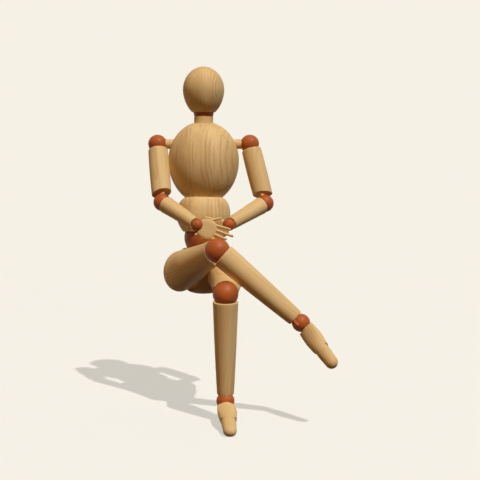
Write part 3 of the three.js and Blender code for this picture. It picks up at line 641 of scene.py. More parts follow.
def pelvis_piece():
    """A squeezed turned form, less the hip hollows, the thighs' paths, the cup and the bores."""
    rim = PELVIS_RIM
    shares = [(1.0, 0.56), (0.96, 0.76), (0.85, 0.93)]
    side = [(SEAT_R, 0), (0.55 * PELVIS_WIDTH_R, 0.05 * rim), (0.79 * PELVIS_WIDTH_R, 0.18 * rim),
            (0.94 * PELVIS_WIDTH_R, 0.36 * rim),
            *[(r * PELVIS_WIDTH_R, z * rim) for r, z in shares], (ABDOMEN_FOOT_R, rim)]
    profile = [(0, 0), *flowing(side), (0, rim)]

    def squeeze(x, y, z):
        share = smoothstep(z, hip_height, rim)
        flat = PELVIS_DEPTH_R / PELVIS_WIDTH_R
        return x, y * (flat + (1 - flat) * share), z

    hip_inner = THIGH_ROOT_HALF_WIDTH + 1.1
    outer = THIGH_ROOT_R + HIP_HOLLOW_GAP
    hollow = [(0, -THIGH_ROOT_R), (outer, -THIGH_ROOT_R), (outer, 6),
              *flowing([(0.99 * outer, 7), (0.95 * outer, 9), (0.86 * outer, hip_inner - 1.6),
                        (0.74 * outer, hip_inner)]), (0, hip_inner)]
    boss_reach = hip_half_spacing - BALL["hip"] - CUP_GAP - GAP
    peg_tip = hip_half_spacing - BALL["hip"] - FIT["hip"]["length"] - GAP
    hip_line = offset(y=-hip_forward, z=hip_height)
    steps = []
    for side in SIDES.values():
        matrix = offset(x=side * hip_half_spacing, y=-hip_forward, z=hip_height)
        steps += cut(placed(turned(hollow), matrix @ turned_y(-90 * side)))
    steps += join(placed(drum(HIP_BOSS_R, -boss_reach, boss_reach), hip_line))
    for side in SIDES.values():
        low, high = sorted((side * peg_tip, side * (boss_reach + 1)))
        steps += cut(placed(drum(FIT["hip"]["peg"] + GAP, low, high), hip_line))
    side = SIDES["right"]
    matrix = offset(x=side * hip_half_spacing, y=-hip_forward, z=hip_height)
    for swing, spread in CROSSING_PLACES:
        leg = side_frame(matrix @ turned_x(swing) @ turned_y(side * spread), side)
        steps += cut(placed(thigh_solid(CROSSING_ROOM), leg))
    steps += cut(ball_shape(BALL["waist"] + WAIST_CUP_GAP, z=waist_height, around=96))
    steps += join(*tongue_tools(FIT["waist"], waist_height, -BALL["waist"] - 3))
    steps += cut(pin_hole(FIT["waist"], waist_height))
    return turned(profile, squeeze=squeeze), steps


# %% Abdomen, chest, shoulder bar, neck and head


def abdomen_piece():
    """One profile: bore, cup, rim, swelling side, top edge and the spigot for the chest."""
    cup = BALL["waist"] + WAIST_CUP_GAP
    bore = peg_bore("waist")
    meet = math.degrees(math.acos(bore["hole"] / cup))
    lip = math.degrees(math.asin(ABDOMEN_FOOT / cup))
    side = [(1.0, 0.45), (0.985, 0.62), (0.935, 0.79), (0.85, 0.91)]
    wall = [(ABDOMEN_FOOT_R, 0), (0.88 * ABDOMEN_R, 0.13), (0.97 * ABDOMEN_R, 0.29),
            *[(r * ABDOMEN_R, z) for r, z in side], (1.05 * ABDOMEN_TOP_R, 0.975),
            (ABDOMEN_TOP_R, 1)]
    wall = [(r, ABDOMEN_FOOT + abdomen_height * z) for r, z in wall]
    top = abdomen_top + SPIGOT_LENGTH
    profile = [(0, bore["depth"]), (bore["hole"], bore["depth"]), *arc(0, 0, cup, meet, lip, 16),
               *flowing(wall), (SPIGOT_R, abdomen_top), (SPIGOT_R, top - 0.5),
               (SPIGOT_R - 0.5, top), (0, top)]
    return turned(profile), ()


def oval_profile():
    """Two quarter ellipses that meet at the widest section, cut flat below and above."""
    below = CHEST_WIDEST / math.sqrt(1 - (CHEST_FOOT_R / CHEST_R) ** 2)
    above = (CHEST_HEIGHT - CHEST_WIDEST) / math.sqrt(1 - (CHEST_TOP_R / CHEST_R) ** 2)
    low, high = -math.asin(CHEST_WIDEST / below), math.asin((CHEST_HEIGHT - CHEST_WIDEST) / above)
    angle = np.linspace(low, high, 60)
    semi = np.where(angle < 0, below, above)
    return np.column_stack([CHEST_R * np.cos(angle), CHEST_WIDEST + semi * np.sin(angle)])


def chest_piece():
    """A squeezed oval, bored across for the shoulder bar and from both ends for its dowels."""
    shape = turned([(0, 0), *oval_profile(), (0, CHEST_HEIGHT)], 128,
                   lambda x, y, z: (x, y * CHEST_DEPTH_SHARE, z))
    bar_hole = drum(SHOULDER_BAR_R + GAP, -CHEST_R - 2, CHEST_R + 2, 48)
    dowel_foot = CHEST_HEIGHT - DOWEL_LENGTH - GAP
    return shape, cut(placed(bar_hole, offset(z=shoulder_height)),
                      drum(SPIGOT_R + GAP, -1, SPIGOT_LENGTH + GAP, across=False),
                      drum(DOWEL_R + GAP, dowel_foot, CHEST_HEIGHT + 1, across=False))


def shoulder_bar_piece():
    """A plain rod whose ends are cupped for the shoulder balls and bored for their pegs."""
    reach = shoulder_half_spacing - BALL["shoulder"] / 2
    blind = shoulder_half_spacing - BALL["shoulder"] - FIT["shoulder"]["length"] - GAP
    steps = []
    for side in SIDES.values():
        steps += cut(ball_shape(cup_of("shoulder"), x=side * shoulder_half_spacing))
        low, high = sorted((side * blind, side * reach))
        steps += cut(drum(FIT["shoulder"]["peg"] + GAP, low, high))
    return drum(SHOULDER_BAR_R, -reach, reach, 48), steps


def neck_piece():
    """A short collar on a dowel, waisted a little, with a cup and tongue for the neck ball."""
    rise = neck_rise - GAP
    cup = cup_of("neck")
    lip = math.degrees(math.asin((COLLAR_HEIGHT - rise) / cup))
    profile = [(0, -DOWEL_LENGTH), (DOWEL_R - 0.4, -DOWEL_LENGTH), (DOWEL_R, -DOWEL_LENGTH + 0.4),
               (DOWEL_R, 0), *flowing([(COLLAR_R, 0), (0.985 * COLLAR_R, COLLAR_HEIGHT / 2),
                                      (COLLAR_R, COLLAR_HEIGHT)], 5),
               *arc(0, rise, cup, lip, -90, 16)]
    profile[-1] = (0, rise - cup)
    tongue = join(*tongue_tools(FIT["neck"], rise, -BALL["neck"] - 2))
    return turned(profile), tongue + cut(pin_hole(FIT["neck"], rise))


def head_piece():
    """An egg, its narrow end down: r = R cos a, thinned by the taper below the widest section."""
    lowest = -math.asin((HEAD_WIDEST - HEAD_RIM) / HEAD_FALL)
    angle = np.linspace(lowest, np.pi / 2, 56)
    height = np.where(angle < 0, HEAD_FALL, HEAD_TOP_RISE)
    narrow = 1 + HEAD_TAPER * np.minimum(np.sin(angle), 0)
    egg = np.column_stack([HEAD_R * np.cos(angle) * narrow, HEAD_WIDEST + height * np.sin(angle)])
    egg[-1, 0] = 0
    bore = peg_bore("neck")
    cup = cup_of("neck")
    meet = math.degrees(math.acos(bore["hole"] / cup))
    lip = math.degrees(math.asin(HEAD_RIM / cup))
    profile = [(0, bore["depth"]), (bore["hole"], bore["depth"]), *arc(0, 0, cup, meet, lip, 16),
               *egg]
    return turned(profile, 128), ()


# %% [markdown]
# ## Arms and hands
#
# The hands of such a figure are flat wooden palms with straight rods for fingers. A palm
# is a closed outline filled out like a pebble: each ring is the outline drawn in, and its
# height follows a high power curve, so the face stays flat and only the edge is round.

# %% Arm and hand sizes
UPPER_ARM = dict(top_r=7.3, end_r=7.2, top_rim=4.7, end_rim=5.6, swell=0.3)
ELBOW_SLANT = 11.5
FOREARM = dict(top_r=6.3, end_r=4.7, top_rim=4.4, end_rim=2.6)
PALM_RIM, PALM_HEEL_R, PALM_HALF_WIDTH, PALM_LENGTH, PALM_THICKNESS = 1.8, 4, 7.2, 13, 3.9
FINGER_R, FINGER_SEAT, FINGER_PITCH, FINGER_SPLAY = 1, 4, 2.8, 4
FINGER_LENGTHS = {"index_finger": 15.2, "middle_finger": 16.8, "ring_finger": 13.3,
                  "little_finger": 7.8}
THUMB_LENGTH, THUMB_ANGLE, THUMB_SEAT = 14.5, 33, 3.2
PALM_FRONT = PALM_RIM + PALM_LENGTH
hand_length = PALM_FRONT - FINGER_SEAT + FINGER_LENGTHS["middle_finger"]
print("hand", round(hand_length, 1), "mm from the wrist to the middle finger's tip")

# %% Arm pieces


def upper_arm_shape():
    """A rod between the shoulder's cup, with the hanger's bore, and the elbow's cup."""
    top = dict(radius=UPPER_ARM["top_r"], rim=UPPER_ARM["top_rim"], cup=cup_of("shoulder"),
               **hanger_bore("shoulder"))
    bottom = dict(radius=UPPER_ARM["end_r"], rim=UPPER_ARM["end_rim"], **plain_cup("elbow"))
    wall = tapered(UPPER_ARM["top_r"], UPPER_ARM["end_r"], UPPER_ARM["swell"])
    return rod(upper_arm_length, top, bottom, wall)


def upper_arm_steps():
    """A slanted cut from the rim at the back up into the wood in front, then the tongue."""
    r = UPPER_ARM["end_r"]
    edge = offset(y=r, z=UPPER_ARM["end_rim"] - upper_arm_length)
    slant = placed(block((-2 * r, -7 * r, -4 * r), (2 * r, r, 0)), edge @ turned_x(-ELBOW_SLANT))
    return (cut(slant) + join(*tongue_tools(FIT["elbow"], -upper_arm_length, BALL["elbow"] + 3))
            + cut(pin_hole(FIT["elbow"], -upper_arm_length)))


def forearm_shape():
    """A tapered rod between the elbow's cup, with the peg's bore, and the wrist's cup."""
    top = dict(radius=FOREARM["top_r"], rim=FOREARM["top_rim"], cup=cup_of("elbow"),
               **peg_bore("elbow"))
    bottom = dict(radius=FOREARM["end_r"], rim=FOREARM["end_rim"], **plain_cup("wrist"))
    return rod(forearm_length, top, bottom, tapered(FOREARM["top_r"], FOREARM["end_r"]))


def palm_outline(steps=16):
    """The palm's edge as four cubic curves: a straight heel, a swell and a round front."""
    widest = -PALM_RIM - PALM_LENGTH / 2
    t = np.linspace(0, 1, steps, endpoint=False)[:, None]

    def cubic(a, b, c, d):
        a, b, c, d = (np.array(p, float) for p in (a, b, c, d))
        return (1 - t) ** 3 * a + 3 * (1 - t) ** 2 * t * b + 3 * (1 - t) * t**2 * c + t**3 * d

    heel, wide, front = (PALM_HEEL_R, -PALM_RIM), (PALM_HALF_WIDTH, widest), (0, -PALM_FRONT)
    right = [cubic(heel, (PALM_HEEL_R + 2, -PALM_RIM - 1), (PALM_HALF_WIDTH, widest + 4), wide),
             cubic(wide, (PALM_HALF_WIDTH, widest - 4), (4.4, -PALM_FRONT), front)]
    right = np.concatenate(right)
    left = right[::-1] * [-1, 1]
    tip = np.array([front], float)
    return np.concatenate([right, tip, left])


def palm_shape():
    """Rings of the outline drawn in by c and raised by s, where c^4 + (2 s / thickness)^4 = 1."""
    outline = palm_outline()
    middle = np.array([0, -PALM_RIM - PALM_LENGTH / 2])
    lift = np.radians(np.linspace(-90, 90, 25))[1:-1]
    c = np.abs(np.cos(lift)) ** 0.5
    s = np.sign(lift) * np.abs(np.sin(lift)) ** 0.5 * PALM_THICKNESS / 2
    flat = middle + (outline - middle) * c[:, None, None]
    rings = np.stack([flat[..., 0], s[:, None] + 0 * flat[..., 0], flat[..., 1]], axis=-1)
    poles = [[middle[0], sign * PALM_THICKNESS / 2, middle[1]] for sign in (-1, 1)]
    return skin(rings, *poles)


def finger_places(side):
    """Where each rod is seated in the palm, and how far it leans out, in degrees."""
    places = {}
    for i, (name, length) in enumerate(FINGER_LENGTHS.items()):
        rank = side * (i - (len(FINGER_LENGTHS) - 1) / 2)
        x = rank * FINGER_PITCH
        places[name] = (x, -(PALM_FRONT - 0.11 * x * x - FINGER_SEAT), rank * FINGER_SPLAY, length)
    places["thumb"] = (-side * THUMB_SEAT, -PALM_RIM - 0.9, -side * THUMB_ANGLE, THUMB_LENGTH)
    return places


def finger_shape(length, radius=FINGER_R):
    """A straight rod down -Z that thins a little, with a half round tip."""
    thin = 0.94 * radius
    profile = [*arc(0, -length + thin, thin, -90, 0, 8), (radius, -length / 2), (radius, -0.1),
               (radius - 0.1, 0), (0, 0)]
    profile[0] = (0, -length)
    return turned(profile, 32)


# %% [markdown]
# ## Legs and feet
#
# The thighs are the boldest forms of the figure: a deep, flattened root that hides the hip
# ball and tapers to the knee. A foot is a squeezed turned form with a flat sole, and its
# toe swings on a barrel hinge.

# %% Leg and foot sizes
SHIN = dict(top_r=8.8, end_r=6, top_rim=5.1, end_rim=5.0, swell=0.2, soft=1.1)
FOOT_RIM, FOOT_SLANT, FOOT_START_R = 3.5, 16, 5.7
FOOT_HALF_WIDTH, FOOT_WIDEST, SOLE_DROP = 6.7, 15, 4.7
TOE_HINGE_R, TOE_HALF_WIDTH, TOE_HALF_HEIGHT, FOOT_LENGTH = 4.3, 5, 4.2, 41
FOOT_END = 1.2  # how far before the toe's hinge the foot's outline ends
INSTEP_SHARE = 0.4  # how high the foot still is above its middle line next to the ankle
# The deepest fold of the knee, and how far the thigh turns either way, in degrees
KNEE_NOTCH = {"right": (79, (-47, 2)), "left": (92, (-47, 61))}
toe_hinge = apart("left_ankle_bend", "left_toe_bend")
foot_bridge = toe_hinge - FOOT_END
print("toe hinges", round(toe_hinge, 1), "mm from the ankles' centres")

# %% Leg pieces


def thigh_shape():
    """The outline up to the knee's rim, then the knee socket, which opens along +Z."""
    end, end_centre = socket(radius=THIGH_END_R, rim=THIGH_END_RIM, cup=cup_of("knee"),
                             **hanger_bore("knee"))
    end[..., 2] = thigh_length - end[..., 2]
    angle = np.linspace(0, 2 * np.pi, ROUND, endpoint=False)
    profile = np.array(thigh_profile())[1:-1]
    r, z = profile[:, 0, None], profile[:, 1, None]
    rings = np.stack([r * np.cos(angle), r * np.sin(angle), z + 0 * angle], axis=-1)
    rings = np.stack(thigh_squeeze(0.0)(rings[..., 0], rings[..., 1], rings[..., 2]), axis=-1)
    tip = [0, 0, thigh_length - end_centre[2]]
    return skin(np.concatenate([rings, end]), [0, 0, -THIGH_ROOT_R], tip)


X_TO_MINUS_Y = np.array([[0, 1, 0, 0], [-1, 0, 0, 0], [0, 0, 1, 0], [0, 0, 0, 1]], float)


def thigh_steps(shin_direction, fold, turns):
    """The hollow for the hip ball and its mouth, the notch that the shin folds into, the tongue.

    The shin's direction is cos(fold) along the thigh and sin(fold) out of it. The notch is
    the shin's own path, cut at the deepest fold for each turn of the shin about the thigh.
    """
    mouth = placed(drum(HIP_MOUTH_R, 2, 2 + THIGH_ROOT_R, 64), X_TO_MINUS_Y)
    rest, fold = math.atan2(shin_direction[1], shin_direction[0]), math.radians(fold)
    shin = drum(SHIN["top_r"] + GAP, SHIN["top_rim"] - GAP, 24, 96, across=False)
    notches = []
    for turn in np.radians(np.arange(turns[0], turns[1] + 1, 12)):
        out = np.array([math.cos(rest - turn), math.sin(rest - turn), 0])
        matrix = np.eye(4)
        matrix[:3, 2] = math.cos(fold) * np.array([0, 0, 1]) + math.sin(fold) * out
        matrix[:3, 0] = np.cross(out, [0, 0, 1])
        matrix[:3, 1] = np.cross(matrix[:3, 2], matrix[:3, 0])
        matrix[:3, 3] = [0, 0, thigh_length]
        notches.append(placed(shin, matrix))
    return (cut(ball_shape(cup_of("hip")), mouth, *notches)
            + join(*tongue_tools(FIT["hip"], 0, BALL["hip"] + 4)) + cut(pin_hole(FIT["hip"])))


def shin_shape():
    """A tapered rod between the knee's cup, with the peg's bore, and the ankle's cup."""
    top = dict(radius=SHIN["top_r"], rim=SHIN["top_rim"], cup=cup_of("knee"), soft=SHIN["soft"],
               **peg_bore("knee"))
    bottom = dict(radius=SHIN["end_r"], rim=SHIN["end_rim"], soft=SHIN["soft"],
                  **plain_cup("ankle"))
    return rod(shin_length, top, bottom, tapered(SHIN["top_r"], SHIN["end_r"], SHIN["swell"]))


def foot_shape():
    """Rings from the ankle socket to the toe hinge, flattened by share, most of all above."""
    outline = flowing([(FOOT_START_R, FOOT_RIM), (0.96 * FOOT_HALF_WIDTH, 0.6 * FOOT_WIDEST),
                       (FOOT_HALF_WIDTH, FOOT_WIDEST), (0.89 * FOOT_HALF_WIDTH, 0.82 * foot_bridge),
                       (TOE_HALF_WIDTH + 0.2, foot_bridge)])

    def wall(depth):
        return np.interp(depth, outline[:, 1], outline[:, 0])

    start, centre = socket(radius=FOOT_START_R, rim=FOOT_RIM, cup=cup_of("ankle"), slant=FOOT_SLANT,
                           soft=0.7, wall=wall, **peg_bore("ankle"))
    start[..., 2] *= -1
    centre[2] *= -1
    share = np.linspace(0, 1, 30)[1:, None]
    z = start[0, :, 2] + (-foot_bridge - start[0, :, 2]) * share
    r = wall(-z)
    angle = np.linspace(0, 2 * np.pi, ROUND, endpoint=False)
    side = np.stack([r * np.cos(angle), r * np.sin(angle), z], axis=-1)
    rings = np.concatenate([start[::-1], side])
    flat = np.clip((-rings[..., 2] - FOOT_RIM) / (foot_bridge - FOOT_RIM), 0, 1)
    outer = np.arange(len(rings)) >= len(start) - 6
    squeeze = 1 - (1 - TOE_HALF_HEIGHT / TOE_HALF_WIDTH) * flat
    rings[outer, :, 1] *= squeeze[outer]
    instep = INSTEP_SHARE + (1 - INSTEP_SHARE) * smoothstep(-rings[..., 2], 8, foot_bridge)
    upper = (rings[..., 1] < 0) & outer[:, None]
    rings[..., 1] *= np.where(upper, instep, 1)
    return skin(rings, centre, [0, 0, -foot_bridge])


def foot_steps():
    """The flat sole, the round seat of the toe, and the tongue with its short pins."""
    sole = block((-20, SOLE_DROP, -FOOT_LENGTH - 5), (20, 20, 10))
    seat = placed(drum(TOE_HINGE_R + TOE_GAP, -20, 20, 64), offset(z=-toe_hinge))
    pins = TOE_HALF_WIDTH - PIN_COVER - GAP
    pin = placed(drum(FIT["toe"]["pin"], -pins, pins, 24), offset(z=-toe_hinge))
    return cut(sole, seat) + join(*tongue_tools(FIT["toe"], -toe_hinge, TOE_HINGE_R + 2.5), pin)


def toe_shape():
    """A squeezed rod with a half round tip, which the barrel behind it then trims."""
    length = FOOT_LENGTH - toe_hinge
    tip = 0.92 * TOE_HALF_WIDTH
    profile = [*arc(0, -length + tip, tip, -90, 0, 14), (TOE_HALF_WIDTH, 0),
               (TOE_HALF_WIDTH, TOE_HINGE_R + 1), (0, TOE_HINGE_R + 1)]
    profile[0] = (0, -length)
    flat = TOE_HALF_HEIGHT / TOE_HALF_WIDTH
    return turned(profile, squeeze=lambda x, y, z: (x, y * flat, z))


def toe_steps():
    """Rounds the back of the toe to its barrel, then cuts the slot and the pin hole."""
    fit = FIT["toe"]
    behind = TOE_HINGE_R + 2
    angle = np.radians(np.linspace(0, 180, 33))
    barrel = np.column_stack([TOE_HINGE_R * np.cos(angle), TOE_HINGE_R * np.sin(angle)])
    keep = np.concatenate([[(TOE_HINGE_R, 0)], barrel[1:-1],
                           [(-TOE_HINGE_R, 0), (-20, 0), (-20, -40), (20, -40), (20, 0)]])
    return [("INTERSECT", prism(keep, -20, 20))] + cut(
        *slot_tools(fit, SWEEP["toe"], behind), pin_hole(fit, 0, TOE_HALF_WIDTH - PIN_COVER))


# %% [markdown]
# ## The finishes
#
# Pale wood of this kind has soft growth lines that run with the piece and open into pointed
# arches where a round form cuts across them. The lines could be painted on, but then they
# would not meet at an edge. So the wood is a solid pattern: thin shells round a pith that
# lies beside the piece, bent a little, with fine fibres and short flecks on top. A mapping
# node turns the pattern into each piece's own frame, so the grain runs along every limb.

# %% Wood as a solid pattern
BEECH_PALE = (0.660, 0.480, 0.230)
BEECH_MID = (0.585, 0.405, 0.180)
BEECH_LINE = (0.400, 0.240, 0.092)
STAIN_PALE = (0.390, 0.094, 0.019)
STAIN_MID = (0.335, 0.078, 0.014)
STAIN_LINE = (0.230, 0.050, 0.010)


class Nodes:
    """Adds nodes to a material or world and links them, so that it reads as a list of steps."""

    def __init__(self, owner):
        owner.use_nodes = True
        self.owner = owner
        self.tree = owner.node_tree
        self.tree.nodes.clear()

    def add(self, kind, settings=None, **inputs):
        """One node; an input is a value or another node's output, named with _ for a space."""
        node = self.tree.nodes.new(kind)
        for key, value in (settings or {}).items():
            setattr(node, key, value)
        for key, value in inputs.items():
            socket_ = node.inputs[int(key[1:])] if key[0] == "n" and key[1:].isdigit() else (
                node.inputs[key.replace("_", " ")])
            if isinstance(value, bpy.types.NodeSocket):
                self.tree.links.new(value, socket_)
            else:
                socket_.default_value = value
        return node

    def math(self, operation, a, b=0.0):
        return self.add("ShaderNodeMath", {"operation": operation}, n0=a, n1=b).outputs[0]

    def vector(self, operation, a, b=(0, 0, 0)):
        return self.add("ShaderNodeVectorMath", {"operation": operation}, n0=a, n1=b).outputs[0]

    def mix(self, share, a, b):
        """Colour a at 0 and b at 1."""
        node = self.add("ShaderNodeMix", {"data_type": "RGBA"})
        for place, value in ((0, share), (6, a), (7, b)):
            if isinstance(value, bpy.types.NodeSocket):
                self.tree.links.new(value, node.inputs[place])
            else:
                colour = isinstance(value, tuple)
                node.inputs[place].default_value = (*value, 1) if colour else value
        return node.outputs[2]

    def noise(self, place, across, lengthwise, detail=1.0, output="Fac", **inputs):
        """A noise that is stretched along the grain: its scales across it and along it differ."""
        stretched = self.vector("MULTIPLY", place, (across, across, lengthwise))
        return self.add("ShaderNodeTexNoise", Vector=stretched, Scale=1.0, Detail=detail,
                        **inputs).outputs[output]

    def ramp(self, value, low, high):
        """0 below low and 1 above high, or the other way round, with a smooth step between."""
        node = self.add("ShaderNodeMapRange", {"interpolation_type": "SMOOTHSTEP"}, Value=value)
        node.inputs["From Min"].default_value = low
        node.inputs["From Max"].default_value = high
        return node.outputs[0]


def piece_space(nodes, matrix):
    """Object coordinates turned into the piece's own frame, in millimetres."""
    coordinates = nodes.add("ShaderNodeTexCoord").outputs["Object"]
    rotation = Matrix(matrix[:3, :3].tolist()).to_euler()
    return nodes.add("ShaderNodeMapping", {"vector_type": "TEXTURE"}, Vector=coordinates,
                     Location=matrix[:3, 3].tolist(), Rotation=tuple(rotation),
                     Scale=(MM, MM, MM)).outputs[0]


def wood(name, matrix, colours, seed, pith=(64.0, 9.0), spacing=2.4, strength=0.6, roughness=0.58,
         coat=0.0):
    """A varnished wood: growth shells round a pith beside the piece, fibres, flecks and a coat.

    The shell number is the distance to the pith over the spacing, and its fraction darkens
    toward the late wood of each year. Strength scales how much each mark darkens the ground.
    """
    nodes = Nodes(bpy.data.materials.new(name))
    pale, middle, dark = colours

    def marked(share, amount, ground):
        return nodes.mix(nodes.math("MULTIPLY", share, amount * strength), ground, dark)

    place = nodes.vector("ADD", piece_space(nodes, matrix), (0, 0, 57.0 * seed))
    wander = nodes.noise(place, 0.05, 0.016, 2.0, "Color")
    wander = nodes.vector("SUBTRACT", wander, (0.5, 0.5, 0.5))
    bent = nodes.vector("ADD", place, nodes.vector("MULTIPLY", wander, (10, 10, 0)))
    shell = nodes.vector("MULTIPLY", nodes.vector("ADD", bent, (pith[0], pith[1], 0)), (1, 1, 0))
    distance = nodes.add("ShaderNodeVectorMath", {"operation": "LENGTH"}, n0=shell).outputs["Value"]
    ring = nodes.math("FRACT", nodes.math("DIVIDE", distance, spacing))
    late = nodes.math("MULTIPLY", nodes.ramp(ring, 0.5, 0.93), nodes.ramp(ring, 1.0, 0.95))
    late = nodes.math("MULTIPLY", late, nodes.ramp(nodes.noise(place, 0.14, 0.014), 0.40, 0.68))
    fibre = nodes.noise(place, 2.1, 0.07, 3.0, Roughness=0.6)
    fleck = nodes.ramp(nodes.noise(place, 3.4, 0.55), 0.68, 0.78)
    broad = nodes.ramp(nodes.noise(place, 0.11, 0.016), 0.34, 0.68)
    threads = marked(nodes.ramp(fibre, 0.48, 0.74), 0.42, nodes.mix(broad, pale, middle))
    flecked = marked(fleck, 0.30, marked(late, 0.62, threads))
    worn = worn_edges(nodes, matrix, flecked, dark)
    gloss = nodes.math("ADD", nodes.math("MULTIPLY", fibre, 0.16), roughness - 0.08)
    relief = nodes.math("MULTIPLY", nodes.math("SUBTRACT", fibre, fleck), 0.5)
    bump = nodes.add("ShaderNodeBump", Strength=0.35, Distance=0.00006, Height=relief).outputs[0]
    shader = nodes.add("ShaderNodeBsdfPrincipled", Base_Color=worn, Roughness=gloss, Normal=bump)
    shader.inputs["Coat Weight"].default_value = coat
    shader.inputs["Coat Roughness"].default_value = 0.45
    shader.inputs["Specular IOR Level"].default_value = 0.16
    nodes.add("ShaderNodeOutputMaterial", Surface=shader.outputs[0])
    return nodes.owner


def worn_edges(nodes, matrix, colour, dark):
    """End grain drinks more varnish and turns darker, and the edges are rubbed pale."""
    normal = nodes.add("ShaderNodeTexCoord").outputs["Normal"]
    grain = matrix[:3, 2].tolist()
    facing = nodes.add("ShaderNodeVectorMath", {"operation": "DOT_PRODUCT"}, n0=normal, n1=grain)
    end_grain = nodes.ramp(nodes.math("ABSOLUTE", facing.outputs["Value"]), 0.80, 1.0)
    soaked = nodes.mix(nodes.math("MULTIPLY", end_grain, 0.34), colour, dark)
    convex = nodes.add("ShaderNodeNewGeometry").outputs["Pointiness"]
    rubbed = nodes.math("MULTIPLY", nodes.ramp(convex, 0.535, 0.60), 0.12)
    return nodes.mix(rubbed, soaked, (0.74, 0.56, 0.34))


def steel(name):
    """Drawn steel: a very fine noise, like scratches, varies its roughness and its relief."""
    nodes = Nodes(bpy.data.materials.new(name))
    coordinates = nodes.add("ShaderNodeTexCoord").outputs["Object"]
    scratch = nodes.add("ShaderNodeTexNoise", Vector=coordinates, Scale=1800.0,
                        Detail=2.0).outputs["Fac"]
    gloss = nodes.math("ADD", nodes.math("MULTIPLY", scratch, 0.25), 0.2)
    bump = nodes.add("ShaderNodeBump", Strength=0.2, Distance=0.00002, Height=scratch).outputs[0]
    shader = nodes.add("ShaderNodeBsdfPrincipled", Roughness=gloss, Normal=bump)
    shader.inputs["Base Color"].default_value = (0.46, 0.47, 0.48, 1)
    shader.inputs["Metallic"].default_value = 1.0
    nodes.add("ShaderNodeOutputMaterial", Surface=shader.outputs[0])
    return nodes.owner


STEEL = steel("drawn_steel")
BEECH = (BEECH_PALE, BEECH_MID, BEECH_LINE)
STAIN = (STAIN_PALE, STAIN_MID, STAIN_LINE)
STAINED = dict(strength=0.4, roughness=0.5, coat=0.14, spacing=2.0, pith=(14.0, 20.0))
counter = iter(range(1, 100))


def finished(piece, material):
    """The piece with this material alone."""
    piece.data.materials.clear()
    piece.data.materials.append(material)
    return piece


def stand_for(node, piece, material):
    """The piece takes the node's place, body and finish."""
    finished(piece, material)
    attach(piece, frame["nodes"][node]["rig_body"])
    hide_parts(node)
    return piece


def in_beech(node, matrix, shape, steps=(), grain=None, **look):
    """A beech piece in its frame; grain is the frame of the pattern, where that is another."""
    piece = worked(f"{node}_wood", shape, matrix, steps)
    grain = matrix if grain is None else grain
    look = wood(f"beech_{node}", grain, BEECH, next(counter), **look)
    return stand_for(node, piece, look)


def in_stain(node, kind, matrix, sideways=False):
    """A stained ball of this kind in its frame."""
    shape, steps = slotted_ball(kind, sideways)
    piece = worked(f"{node}_wood", shape, matrix, steps)
    look = wood(f"stain_{node}", matrix, STAIN, next(counter), **STAINED)
    return stand_for(node, piece, look)


def in_steel(node, matrix, kind):
    """A hanger of drawn steel in its frame."""
    shape, steps = hanger_shape_steps(kind)
    return stand_for(node, worked(f"{node}_steel", shape, matrix, steps), STEEL)


# %% [markdown]
# ## Putting the figure together
#
# Each function above gives a shape in its own frame. Here every shape is sent to its frame
# and made to ride with the body that carries it, so that all of them follow the joints.

# %% Torso and head
shadowed = [in_beech("pelvis", pelvis_frame, *pelvis_piece(), pith=(66, 12), spacing=2.6,
                     strength=1.0)]
in_beech("abdomen", waist_frame, *abdomen_piece(), pith=(-58, 10), spacing=3.1, strength=1.0)
in_beech("chest", chest_frame, *chest_piece(), pith=(72, 6), spacing=3.4, strength=1.1)
bar_grain = axes(spot("right_arm_swing") * [0, 1, 1], -along("chest_turn"), np.array([1.0, 0, 0]))
in_beech("shoulder_bar", shifted(chest_frame, z=shoulder_height), *shoulder_bar_piece(), bar_grain)
in_beech("neck", shifted(chest_frame, z=CHEST_HEIGHT + GAP), *neck_piece(), chest_frame)
in_beech("head", head_frame, *head_piece(), pith=(60, 5), spacing=2.4, strength=1.2)
for kind, place in (("waist", waist_frame), ("neck", head_frame)):
    shadowed.append(in_stain(f"{kind}_ball", kind, place @ turned_x(180)))
print("torso made")

# %% Arms


def across_palm(name, side):
    """The palm's own X: from the first finger to the last one, square to the hand's axis."""
    def middle(node):
        mesh = frame["nodes"][node].data
        points = np.zeros(3 * len(mesh.vertices), np.float32)
        mesh.vertices.foreach_get("co", points)
        return points.reshape(-1, 3).mean(axis=0)

    across = side * (middle(f"{name}_little_finger") - middle(f"{name}_index_finger"))
    axis = along(f"{name}_hand_turn")
    return across - axis * (across @ axis)


def add_hand(name, side):
    """A palm, bored for each rod, and the five rods in their bores."""
    hand = axes(spot(f"{name}_wrist_bend"), across_palm(name, side), along(f"{name}_hand_turn"))
    places = finger_places(side)
    bore = drum(FIT["wrist"]["peg"] + GAP, -BALL["wrist"] - FIT["wrist"]["length"] - GAP,
                -PALM_RIM, across=False)
    steps = cut(ball_shape(cup_of("wrist")), bore)
    for x, z, lean, length in places.values():
        hole = drum(FINGER_R + GAP, -length, GAP, 24, across=False)
        steps += cut(placed(hole, offset(x=x, z=z) @ turned_y(-lean)))
    in_beech(f"{name}_palm", hand, palm_shape(), steps, strength=0.8)
    for finger, (x, z, lean, length) in places.items():
        rod_frame = shifted(hand, x=x, z=z) @ turned_y(-lean)
        in_beech(f"{name}_{finger}", rod_frame, finger_shape(length), strength=0.7)


def hanger_shape_steps(kind):
    """The eye of a hanger, joined to its flat bar and round shank, and its pin hole."""
    fit = FIT[kind]
    rise = BALL[kind] - 0.6
    eye, bar = tongue_tools(fit, 0, rise)
    shank = drum(fit["half"], rise - 1, BALL[kind] + HANGER_SHANK, across=False)
    return eye, join(bar, shank) + cut(pin_hole(fit))


PIN_AND_PEG = {"arm": ("lift", "swing"), "leg": ("spread", "swing")}  # the joints at a limb's root


